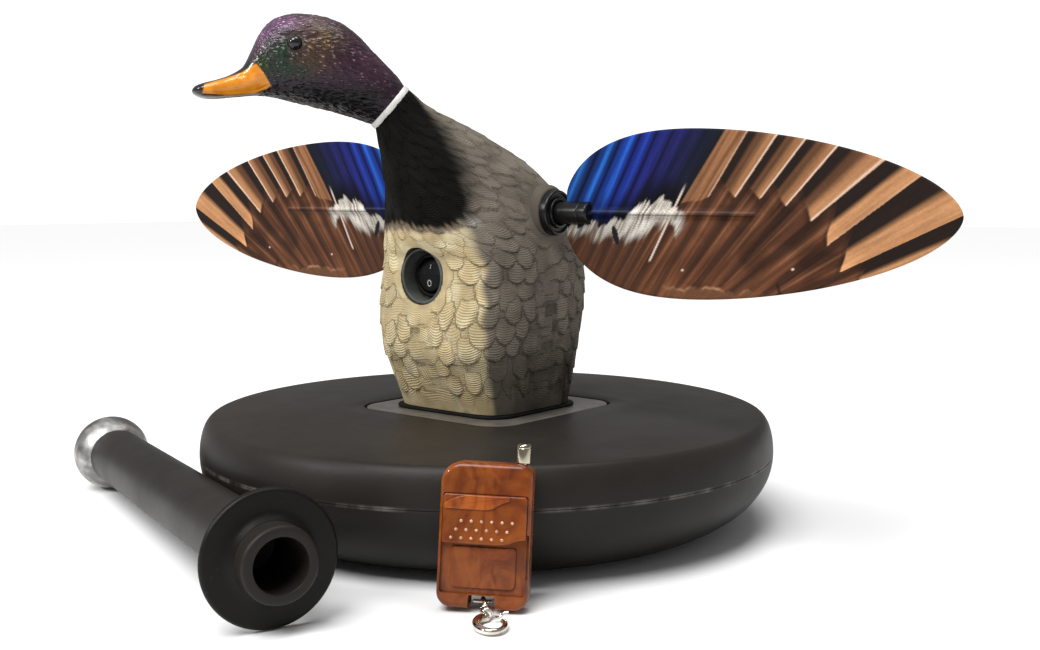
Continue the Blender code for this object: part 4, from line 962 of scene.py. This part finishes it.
def wing_colours(s, h):
    """Printed fan: russet coverts, tan primaries, blue and white patch; painted shade and highlight on
    the rod's channel.
    """
    feather, along = fan_place(s, h)
    which = np.floor(feather)
    part = feather - which
    streak = value_noise(feather * 9.0, along * 0.05, 2)
    fine = value_noise(feather * 26.0, along * 0.09, 6)
    blotch = value_noise(s * 0.07, h * 0.11, 11)

    def ragged(scale, seed, size, middle=0.5):
        return (value_noise(feather * scale, s * 0, seed) - middle) * size

    band = 0.5 + 0.5 * np.cos((part - 0.12) * 2 * math.pi)
    russet = layered(
        blend((0.048, 0.017, 0.008), (0.135, 0.050, 0.022), streak),
        ((0.022, 0.010, 0.006), step(band, 0.45, 0.95) * 0.70),
        ((0.27, 0.125, 0.062), bell(part - 0.5, 0.055) * step(along, -46.0, -12.0) * 0.5),
        (1.45, step(h, -20.0, -36.0) * step(s, 178, 130)),
        (0.45, step(blotch, 0.50, 0.85) * step(s, 100, 150) * 0.75),
        ((0.045, 0.020, 0.012), step(s, 112, 84) * 0.60 * (0.4 + streak)))
    edge_line = (h + 35.2 - 3.6 * (value_noise(s * 0.22, s * 0 + 2, 4) - 0.5)
                 - 1.6 * (value_noise(s * 0.9, s * 0 + 7, 14) - 0.5))
    tips = bell(edge_line, 0.7) * step(s, 108, 118) * step(s, 160, 150)
    colour = layered(
        russet * (0.82 + 0.36 * fine)[..., None],
        ((0.42, 0.22, 0.12), tips * value_noise(s * 0.3, h * 0, 33)),
        ((0.135, 0.058, 0.029), step(edge_line, 0.2, -1.0) * step(s, 104, 116) * step(s, 172, 150) * 0.7))

    wide, first = step(which, 10.5, 12.0), step(feather, 8.05, 7.9)
    tan = blend((0.235, 0.100, 0.040), (0.42, 0.205, 0.092),
                np.clip(step(feather, 10.5, 13.0) * 0.6 + 0.5 * streak, 0, 1))
    vane = step(part, 0.40 - 0.02 * wide, 0.86 - 0.26 * wide)
    line = bell(part - 0.955, 0.028) * step(which, 12.5, 10.5) * step(which, 6.5, 7.5)
    primary = layered(
        blend((0.0125, 0.0070, 0.0052), tan, vane),
        (blend((0.115, 0.048, 0.022), (0.30, 0.135, 0.060), streak), first),
        ((0.17, 0.07, 0.03), step(np.abs(part - 0.42), 0.16, 0.02) * 0.55 * (1 - wide) * (1 - first)),
        ((0.66, 0.52, 0.42), line * 0.95),
        (1.35, step(along, 14.0, 1.0) * vane * wide))
    tip_at = (9.0 + 6.0 * wide) * np.clip(1 - part, 0, 1) ** 1.1 + ragged(3.0, 15, 1.6)
    over = step(along, tip_at - 0.5, tip_at + 0.6) * step(feather, BLUE_END - 0.02, BLUE_END + 0.03)
    colour = layered(colour, (0.35, bell(along - tip_at + 1.2, 1.6) * step(feather, 7.5, 9.0) * 0.6),
                     (primary * (0.86 + 0.28 * fine)[..., None], over))

    held = np.clip(feather, 0, BLUE_END)
    blue = np.stack([np.interp(held, np.arange(BLUE_END + 1), row) for row in BLUES], -1)
    floor_tone = np.interp(held, [0, 3, 5, 7], [0.05, 0.07, 0.45, 0.8])
    stripe = np.sin(math.pi * np.clip(part, 0, 1)) ** 0.9
    blue = blue * (floor_tone + (1 - floor_tone) * stripe)[..., None]
    blue += (bell(part - 0.58, 0.13) * step(held, 3.2, 1.0) * 0.8)[..., None] * (0.01, 0.085, 0.24)
    blue *= (0.65 + 0.7 * fine)[..., None]
    top = np.interp(s, [50.3, 68.9, 84.8, 93.0, 100.2, 109.5, 116.0, 122.5],
                    [-6.1, -5.0, -3.1, 0.0, 5.0, 7.4, 4.0, 1.2])
    low = np.interp(s, [54.5, 73.0, 88.8, 95.0, 102.2, 112.4, 117.1, 122.0],
                    [-10.2, -10.6, -11.1, -9.0, -6.0, -1.2, -7.3, -2.0])
    top = top + ragged(2.6, 19, 4.0) + ragged(11, 23, 1.8)
    low = low - ragged(3.3, 29, 4.5, 0.4) - ragged(12, 43, 1.8)
    white = layered(blend((0.33, 0.29, 0.23), (0.66, 0.65, 0.61), step(fine, 0.25, 0.75)),
                    ((0.30, 0.17, 0.10), step(fine, 0.62, 0.95) * 0.5))
    inside = step(h, low - 3.2, low + 2.0) * step(top - h, -0.6, 1.1) * step(s, 124.5, 117.5)
    gaps = step(value_noise(feather * 6.0, h * 0.07, 37), 0.50, 0.85)
    drop = ((s - 82.6 + (h + 10.5) * 0.25) / 1.7) ** 2 + ((h + 10.5) / 4.6) ** 2
    pale_quill = np.abs((s - 102.4) * 0.8815 - (h + 22.7) * 0.4722)
    on_quill = step(pale_quill, 0.75, 0.25) * step(h, -23.2, -21.5) * step(h, 15.0, 9.0)
    channel = step(s, ROD_END + 1.5, ROD_END) * step(s, 66, 68)
    colour = layered(
        colour,
        (blend(blue * 0.10, blue, step(h - top, 1.0, 15.0)),
         step(feather, BLUE_END + 0.02, BLUE_END - 0.06) * step(h, top - 0.6, top + 0.4)),
        ((0.05, 0.03, 0.02), inside * 0.5),
        (white, inside * (1 - 0.80 * gaps) * (0.72 + 0.28 * step(s, 88.0, 96.0))),
        ((0.008, 0.008, 0.010), step(drop, 1.25, 0.85)),
        ((0.62, 0.50, 0.42), on_quill * 0.9),
        # Painted shade along the lower side of the rod's raised channel.
        (0.30, bell(h + 0.55, 0.38) * channel))
    # Painted highlight along the upper side of the channel.
    colour = blend(colour, colour * 1.25 + 0.06, bell(h - 1.15, 0.34) * channel * 0.55)
    spots = [((0.60, 0.45, 0.36), step(np.hypot(s - ds, (h - dh) * 1.4), 1.04, 0.48))
             for ds, dh in ((177.6, -23.4), (121.0, -26.0))]
    tear = bell(s - 171.0 + (h + 33.0) * 0.3, 0.8) * step(h, -36.5, -35.5) * step(h, -29, -31)
    return np.clip(layered(colour, *spots, ((0.012, 0.007, 0.005), tear * 0.9)), 0, 1)


def half_chord(s):
    root = np.clip((WING_WIDE - s) / (WING_WIDE - WING_ROOT), 0, 1)
    tip = np.clip((s - WING_WIDE) / (WING_TIP - WING_WIDE), 0, 1)
    return WING_CHORD * np.where(s < WING_WIDE, np.clip(1 - root ** 2.3, 0, 1) ** (1 / 2.3),
                                 np.clip(1 - tip ** 1.75, 0, 1) ** (1 / 1.75))


def make_wing(name, sign):
    """A thin blade, slotted at the root for the hub, with a raised channel for its rod."""
    slot_half, slot_end = HUB_R - 0.1, HUB_END - 0.1
    t = np.linspace(0, 1, 400)
    slot_rows, side_cells, middle_cells = 48, 76, 26
    near = np.linspace(0, 1, slot_rows, endpoint=False) ** 1.5
    out = np.concatenate([WING_START + (slot_end - WING_START) * near,
                          slot_end + (WING_TIP - 0.02 - slot_end) * np.sin(t * math.pi / 2) ** 1.12])
    half = half_chord(out)
    mid = np.minimum(slot_half, 0.3 * half)
    mid[:slot_rows + 1] = slot_half
    half = np.maximum(half, mid + 0.4)
    low = -half[:, None] + (half - mid)[:, None] * np.linspace(0, 1, side_cells + 1)[None]
    centre = -mid[:, None] + 2 * mid[:, None] * np.linspace(0, 1, middle_cells + 1)[None, 1:-1]
    high = mid[:, None] + (half - mid)[:, None] * np.linspace(0, 1, side_cells + 1)[None]
    h = np.concatenate([low, centre, high], 1)
    rows, cols = h.shape
    s = np.repeat(out[:, None], cols, 1)
    ridge = 1.1 * np.cos(np.clip(h / 3.3, -1, 1) * math.pi / 2) ** 2
    ridge = ridge * step(s, slot_end - 0.5, slot_end + 2.0) * step(s, ROD_END + 3.0, ROD_END - 0.5)
    inward = np.minimum(np.minimum(half[:, None] - np.abs(h), WING_TIP - s), 1.2)
    thick = 0.6 * np.clip(0.55 + 0.45 * inward / 0.8, 0.55, 1) + ridge
    warp = (value_noise(s * 0.045, h * 0.06, 71) - 0.5) * 0.35 * step(np.abs(h), 4.0, 14.0)
    front = np.stack([sign * s, warp - thick, SHAFT_Z + h], 2).reshape(-1, 3)
    rear = np.stack([sign * s, warp + thick, SHAFT_Z + h], 2).reshape(-1, 3)
    i, j = np.meshgrid(np.arange(rows - 1), np.arange(cols - 1), indexing="ij")
    keep = ~((i < slot_rows) & (j >= side_cells) & (j < side_cells + middle_cells))
    i, j = i[keep], j[keep]
    a = i * cols + j
    quads = np.stack([a, a + 1, a + cols + 1, a + cols], 1)
    edges = np.concatenate([quads[:, [k, (k + 1) % 4]] for k in range(4)])
    key = np.sort(edges, 1) @ np.array([rows * cols, 1])
    _, index, times = np.unique(key, return_index=True, return_counts=True)
    rim = edges[index[times == 1]]
    size = rows * cols
    walls = np.stack([rim[:, 1], rim[:, 0], rim[:, 0] + size, rim[:, 1] + size], 1)
    faces = np.concatenate([quads, quads[:, ::-1] + size, walls])
    used = np.zeros(2 * size, bool)
    used[faces.ravel()] = True
    renumber = np.cumsum(used) - 1
    paint = np.tile(wing_colours(s, h).reshape(-1, 3), (2, 1))
    blade = make_mesh("wing_print_" + name, np.concatenate([front, rear])[used], renumber[faces],
                      {"paint": ("FLOAT_COLOR", paint[used])}, 50, False)
    settle(blade, "wing", "wing_" + name, "wing_blade_" + name)


def make_drive():
    for name, sign in SIDES:
        spin, at = toward((sign, 0, 0)), (0, 0, SHAFT_Z)
        bezel = [(6.4, BEZEL_FACE + 1.5, 0.3), (7.6, BEZEL_FACE + 1.3, 0.5),
                 (7.8, BEZEL_FACE - 0.6, 0.3), (9.6, BEZEL_FACE - 0.7, 0.4),
                 (10.0, BEZEL_FACE + 0.7, 0.4), (11.3, BEZEL_FACE + 0.4, 0.8), (11.6, 43.9, 0.2), (9.5, 43.9), (9.5, 38.0), (8.2, 38.0), (8.2, 43.6), (6.4, 43.6)]
        settle(lathe("bezel_" + name, bezel, at, spin), "black", "decoy", "shaft_bezel_" + name)
        hub = [(1.6, HUB_END, 0.2), (4.7, HUB_END, 0.6), (HUB_R, HUB_END - 0.9, 0.5), (HUB_R, 62.8, 0.2),
               (HUB_R - 0.25, 62.5, 0.1), (HUB_R - 0.25, 62.1, 0.1), (HUB_R, 61.8, 0.2),
               (HUB_R, HUB_START, 0.4), (2.8, HUB_START), (2.8, 57.6), (1.6, 57.6)]
        settle(lathe("hub_" + name, hub, at, spin), "black", "drive", "wing_hub_" + name)
        make_wing(name, sign)


# --- Switch ---

def make_switch():
    at = (0, SWITCH_FRONT, SWITCH_Z)
    rim = SWITCH_R - GAP
    cup = [(12.5, 0.15, 0.5), (rim, 0.15, 0.5), (rim, -10.6), (10.3, -10.6), (10.3, -9.1, 0.3),
           (12.6, -9.1, 1.2)]
    settle(lathe("switch_well", cup, at, UPRIGHT), "grey", "decoy", "switch_cup")
    body = [(9.2, -6.3, 0.3), (10.5, -6.2, 0.4), (11.3, -7.0, 0.3), (11.3, -8.8), (10.0, -8.8),
            (10.0, -26.0, 0.6), (7.0, -26.0), (7.0, -14.0), (9.2, -14.0)]
    settle(lathe("switch_frame", body, at, UPRIGHT), "paddle", "decoy", "switch_body")

    tilt = rotation(0, -7)
    pivot = np.array([0, SWITCH_FRONT + 8.6, SWITCH_Z])
    angles = circle(64)
    rings = []
    for radius, lift in ((8.4, None), (8.4, 0.55), (8.2, 0.2), (7.8, 0), (5.2, 0), (2.6, 0), (0, 0)):
        x, z = radius * np.cos(angles), radius * np.sin(angles)
        face = np.full(64, 3.5) if lift is None else PADDLE_FACE + PADDLE_RISE * np.abs(z) + lift
        rings.append(np.column_stack([x, face, z]))
    faces = grid_faces(len(rings), 64).tolist() + [list(range(63, -1, -1))]
    flat = np.concatenate(rings) @ tilt.T + pivot
    settle(make_mesh("switch_paddle", flat, faces), "paddle", "rocker", "switch_rocker")

    def on_paddle(x, z):
        return [x, PADDLE_FACE + PADDLE_RISE * abs(z) - 0.05, z]
    loop = [on_paddle(1.15 * math.cos(t), -4.2 + 1.45 * math.sin(t)) for t in circle(32)]
    bar = [on_paddle(0.0, z) for z in np.linspace(3.0, 5.4, 7)]
    for name, path, closed in (("ring", loop, True), ("bar", bar, False)):
        path = np.array(path) @ tilt.T + pivot
        settle(tube("switch_mark_" + name, path, 0.22, closed, 8), "mark", "rocker")


# --- Keel ---

def make_keel():
    axis = FLANGE_AT - BALL_AT
    reach = np.linalg.norm(axis)
    aim = toward(axis / reach)
    start = math.sqrt(BALL_R ** 2 - 15.0 ** 2) + 0.8
    pipe = [(0.0, reach - 26.0), (11.2, reach - 26.0, 0.6), (11.2, reach + 14.0, 0.7),
            (15.7, reach + 14.0, 3.0), (15.7, reach + 9.5, 0.4), (15.7, reach - 2.7), (15.0, reach - 2.7),
            (15.0, reach - 9.0), (15.0, start + 30.0), (15.0, start, 0.8), (0.0, start)]
    settle(lathe("keel_pipe", pipe, BALL_AT, aim, 128, False), "keel", "keel", "keel_tube")
    hole = 15.5
    edge = FLANGE_R - 1.0
    flange = [(hole, reach + 4.6), (15.9, reach + 4.4, 0.2), (18.6, reach + 2.0, 1.8),
              (edge, reach + 2.0, 0.9), (FLANGE_R, reach + 0.6, 0.7), (FLANGE_R, reach - 0.6, 0.7),
              (edge, reach - 2.0, 0.9), (hole, reach - 2.0, 0.4)]
    # Painted shade: the keel plate wears the darkened copy of the float moulding.
    settle(lathe("keel_plate", flange, BALL_AT, aim, 128), "flange", "keel", "keel_flange")
    cap = math.acos((start - 0.5) / BALL_R)
    globe = [(BALL_R * math.sin(t), BALL_R * math.cos(t)) for t in np.linspace(cap, math.pi, 56)]
    profile = [(0.0, start - 0.5)] + globe
    weight = lathe("keel_ball", profile, BALL_AT, aim, 112, False)
    settle(weight, "zinc", "keel", "keel_weight")


# --- Remote ---

REMOTE_TURN = rotation(2, 32.3) @ rotation(0, -8.0) @ rotation(1, 1.6)
UPRIGHT = rotation(0, 90)  # lays an outline's own Y along the remote's height


def remote_place(points):
    return np.asarray(points, float) @ REMOTE_TURN.T + REMOTE_AT


def remote_slab(name, outline, front, back, ease_front, ease_back, steps=5):
    """A slab in the remote's frame: its outline is (across, height), front and back are y."""
    return pillow(name, outline, -back, -front, ease_back, ease_front, REMOTE_AT,
                  REMOTE_TURN @ UPRIGHT, steps)


def cutter(outline, front, back):
    """A sharp-edged slab in the remote's frame, for cutting with."""
    return remote_slab("cutter", outline, front, back, 0, 0)


def remote_box(half_x, low_z, high_z, radii, middle_x=0.0, steps=8):
    return rounded_box(half_x, (high_z - low_z) / 2, radii, (middle_x, (high_z + low_z) / 2), steps)


def make_remote():
    case = remote_box(REMOTE_W / 2, 0.0, REMOTE_H, (5.0, 9.0, 6.0, 6.0), steps=12)
    front = remote_slab("remote_front", case, -REMOTE_T, REMOTE_SPLIT - 0.15, 2.6, 0.25, 7)
    track = remote_box(17.6, 6.0, 46.8, 1.2)
    notch, room = remote_box(5.6, -7.0, 5.7, 1.2), remote_box(17.5, 1.5, 58.0, 4.0)
    holes = [cutter(rounded_box(2.8, 2.8, 2.79, (x, z), 6), -13.0, -4.0)
             for x in (-6, 6) for z in (31.5, 41.0)]
    carve(front, cutter(track, -14.0, -9.4), cutter(notch, -16, 3), cutter(room, -8.1, -3.0),
          cutter(remote_box(0.5, 13.0, 31.0, 0.4, 18.05), -14.0, -8.6), *holes)
    settle(front, "burl", "remote", "remote_front_case")
    back = remote_slab("remote_back", case, REMOTE_SPLIT + 0.15, 0.0, 0.25, 1.8, 7)
    carve(back, cutter(room, -8.0, -1.4), cutter(notch, -16, 3))
    settle(back, "burl", "remote", "remote_back_case")

    panel = remote_slab("remote_lower_panel", remote_box(13.5, 8.2, 25.2, (1.5, 1.5, 2.5, 2.5)),
                        -10.3, -9.45, 0.5, 0)
    carve(panel, cutter(rounded_box(11.4, 9.0, 3.0, (0, 36.0), 8), -14, -8))
    settle(panel, "burl", "remote")

    cover_line = eased([(-17.3, 26.3, 1.4), (9.0, 26.3, 5.0), (13.8, 28.6, 4.0), (17.3, 29.0, 0.8),
                        (17.3, 46.5, 1.4), (-17.3, 46.5, 1.4)], steps=8)
    cover = remote_slab("remote_cover", cover_line, -12.6, -9.7, 0.7, 0.15)
    carve(cover, cutter(remote_box(14.2, 10.0, 60.0, 0.5), -10.9, -8.0))
    settle(cover, "burl", "cover", "remote_slide_cover")
    swoosh_line = eased([(-16.8, 40.4, 1.2), (2.6, 40.4, 3.2), (6.8, 43.3, 2.0), (10.2, 44.4, 1.0),
                         (10.4, 46.3, 0.6), (-9.8, 46.3, 4.0), (-16.8, 42.8, 2.4)], steps=7)
    swoosh = remote_slab("cover_swoosh", swoosh_line, -13.3, -12.3, 0.5, 0)
    # The swoosh wears the lighter copy of the wood: a painted highlight.
    settle(swoosh, "burl_light", "cover")
    points, faces = [], []
    for x, z in [(first + 4.2 * k, z) for first, z in ((-9.4, 35.7), (-11.4, 32.1), (-13.4, 28.7))
                 for k in range(6)]:
        start = len(points)
        for t in math.pi / 8 * np.arange(5):
            reach, out = 0.72 * math.cos(t), -12.55 - 0.55 * math.sin(t)
            points += [(x + reach * math.cos(a), out, z + reach * math.sin(a)) for a in circle(12)]
        faces += (grid_faces(5, 12) + start).tolist() + [list(range(start, start + 12))]
    # The dots wear the pale dot finish: painted highlights.
    settle(make_mesh("cover_dots", remote_place(points), faces), "dot", "cover")

    shape = [(0.0, -0.1), (1.9, -0.1, 0.5), (2.5, -0.8, 0.4), (2.5, -2.4), (3.3, -2.4, 0.1),
             (3.3, -2.9), (0.0, -2.9)]
    for number, (x, z) in zip("1234", ((-6.0, 31.5), (6.0, 31.5), (-6.0, 41.0), (6.0, 41.0))):
        at = remote_place([[x, -10.3, z]])[0]
        key = lathe("remote_key_" + number, shape, at, REMOTE_TURN @ UPRIGHT, 40, False)
        settle(key, "red", "button_" + number, "remote_button_" + number)

    at = remote_place([[14.2, -5.6, REMOTE_H + GAP]])[0]
    tip = [(0.0, 8.2), (1.9, 8.1, 0.9), (2.9, 7.2, 0.8), (2.95, 6.3, 0.1), (2.85, 6.1, 0.1),
           (3.0, 5.9, 0.1), (3.0, 0.0, 0.2), (1.3, 0.0), (1.3, -34.0), (0.0, -34.0)]
    stub = lathe("antenna_stub", tip, at, REMOTE_TURN, 64, False)
    settle(stub, "dark_metal", "antenna", "remote_antenna")


def make_clasp():
    post = remote_place([[0.0, -6.0, 2.4]])[0]
    pin = np.array([[x, -6.0, 2.4] for x in np.linspace(-3.9, 3.9, 9)])
    settle(tube("key_pin", remote_place(pin), 0.8), "chrome", "remote", "key_post")
    aim = rotation(2, -41.0)

    def place(points):
        return np.asarray(points, float) @ aim.T + np.array([post[0], post[1], 0.0])
    link = [(3.1 + 4.5 * math.cos(t), 0.0, post[2] + 2.2 * math.sin(t))
            for t in circle(48)]
    side = np.array([0.0, 1.0, 0.0])
    ring = []
    for k, p in enumerate(link):
        along = np.array(link[(k + 1) % 48]) - np.array(link[k - 1])
        along /= np.linalg.norm(along)
        out = np.cross(along, side)
        for t in circle(12):
            ring.append(np.array(p) + side * 0.85 * math.cos(t) + out * 0.65 * math.sin(t))
    piece = make_mesh("clasp_ring_link", place(ring), grid_faces(48, 12, True))
    settle(piece, "chrome", "link", "clasp_link")
    barrel = [(0.0, 3.0), (1.6, 3.0, 0.6), (2.5, 2.2, 0.6), (2.5, 1.2, 0.3), (1.8, 0.8, 0.2),
              (2.6, 0.3, 0.3), (2.6, -1.6, 0.5), (2.1, -2.6, 0.4), (0.0, -2.6)]
    at = place([[10.8, 0.0, 2.8]])[0]
    barrel = lathe("clasp_swivel", barrel, at, toward(aim @ (-1.0, 0, 0)), 48, False)
    settle(barrel, "chrome", "swivel", "clasp_barrel")
    claw = [(13.9, 0.0, 2.6)]
    for k in range(13):
        t = math.radians(190 + 285 * k / 12)
        claw.append((22.6 + 8.4 * math.cos(t), 5.6 * math.sin(t), 1.7))
    path = catmull(claw, 8)
    thick = np.interp(np.linspace(0, 1, len(path)), [0, 0.06, 0.25, 0.7, 0.97, 1.0],
                      [1.5, 2.0, 1.9, 1.2, 1.3, 0.7])
    settle(tube("clasp_hook", place(path), thick, False, 20), "chrome", "swivel", "clasp_claw")
    gate = catmull([(15.0, 2.6, 1.8), (16.8, 4.4, 2.4), (17.0, 6.0, 3.9), (17.5, 8.0, 4.3)], 6)
    settle(tube("clasp_thumb_gate", place(gate), 0.7, False, 14), "chrome", "gate", "clasp_gate")


# --- Stage ---

CAMERA_AT = np.array([436.2, -501.6, 170.2])
CAMERA_BACK, CAMERA_RIGHT = (0.6330, -0.7670, 0.1044), (0.7712, 0.6366, 0.0)


def add_light(name, kind, place, aim, power, **settings):
    lamp = bpy.data.lights.new(name, kind)
    lamp.energy = power
    for key, value in settings.items():
        setattr(lamp, key, value)
    made = put(name, lamp)
    made.location = place
    made.rotation_euler = (Vector(place) - Vector(aim)).to_track_quat("Z", "Y").to_euler()


def make_stage():
    scene = bpy.context.scene
    camera = bpy.data.cameras.new("camera")
    camera.lens, camera.sensor_width, camera.clip_start, camera.clip_end = 43.56, 36.0, 0.02, 30.0
    back, right = Vector(CAMERA_BACK).normalized(), Vector(CAMERA_RIGHT).normalized()
    pose = Matrix((right, back.cross(right), back)).transposed().to_4x4()
    pose.translation = Vector((CAMERA_AT + MIDDLE) * MM)
    scene.camera = put("camera", camera)
    scene.camera.matrix_world = pose

    mesh = bpy.data.meshes.new("floor")
    half = 6.0
    mesh.from_pydata([(-half, -half, 0), (half, -half, 0), (half, half, 0), (-half, half, 0)], [],
                     [(0, 1, 2, 3)])
    floor = put("floor", mesh)
    floor.location.z = -0.0002
    g = Graph("floor_pale", Specular_IOR_Level=0.1)
    mesh.materials.append(g.finish(g.mix(g.noise(3.0), (0.84, 0.84, 0.84), (0.86, 0.86, 0.86)), 0.9))

    world = bpy.data.worlds.new("world")
    world.use_nodes = True
    nodes, links = world.node_tree.nodes, world.node_tree.links
    dim, bright = nodes["Background"], nodes.new("ShaderNodeBackground")
    dim.inputs["Color"].default_value = (1.0, 1.0, 1.0, 1.0)
    dim.inputs["Strength"].default_value = 0.31
    bright.inputs["Strength"].default_value = 1.5
    chosen, seen = nodes.new("ShaderNodeMixShader"), nodes.new("ShaderNodeLightPath")
    links.new(seen.outputs["Is Camera Ray"], chosen.inputs[0])
    links.new(dim.outputs[0], chosen.inputs[1])
    links.new(bright.outputs[0], chosen.inputs[2])
    links.new(chosen.outputs[0], nodes["World Output"].inputs["Surface"])
    scene.world = world
    scene.view_settings.view_transform = "Standard"
    add_light("studio_key", "SUN", (0.06, -0.78, 1.30), (0, 0, 0), 3.1, angle=math.radians(36))
    add_light("left_box", "AREA", (-0.75, -1.35, 0.95), (0.0, 0.0, 0.12), 11.0, shape="DISK", size=0.26)
    add_light("top_box", "AREA", (0.2, 0.25, 1.7), (0.0, 0.0, 0.10), 9.0, shape="DISK", size=0.8)


dress_nodes()
make_float()
make_body()
make_head()
make_drive()
make_switch()
make_keel()
make_remote()
make_clasp()
make_stage()

bpy.context.view_layer.update()
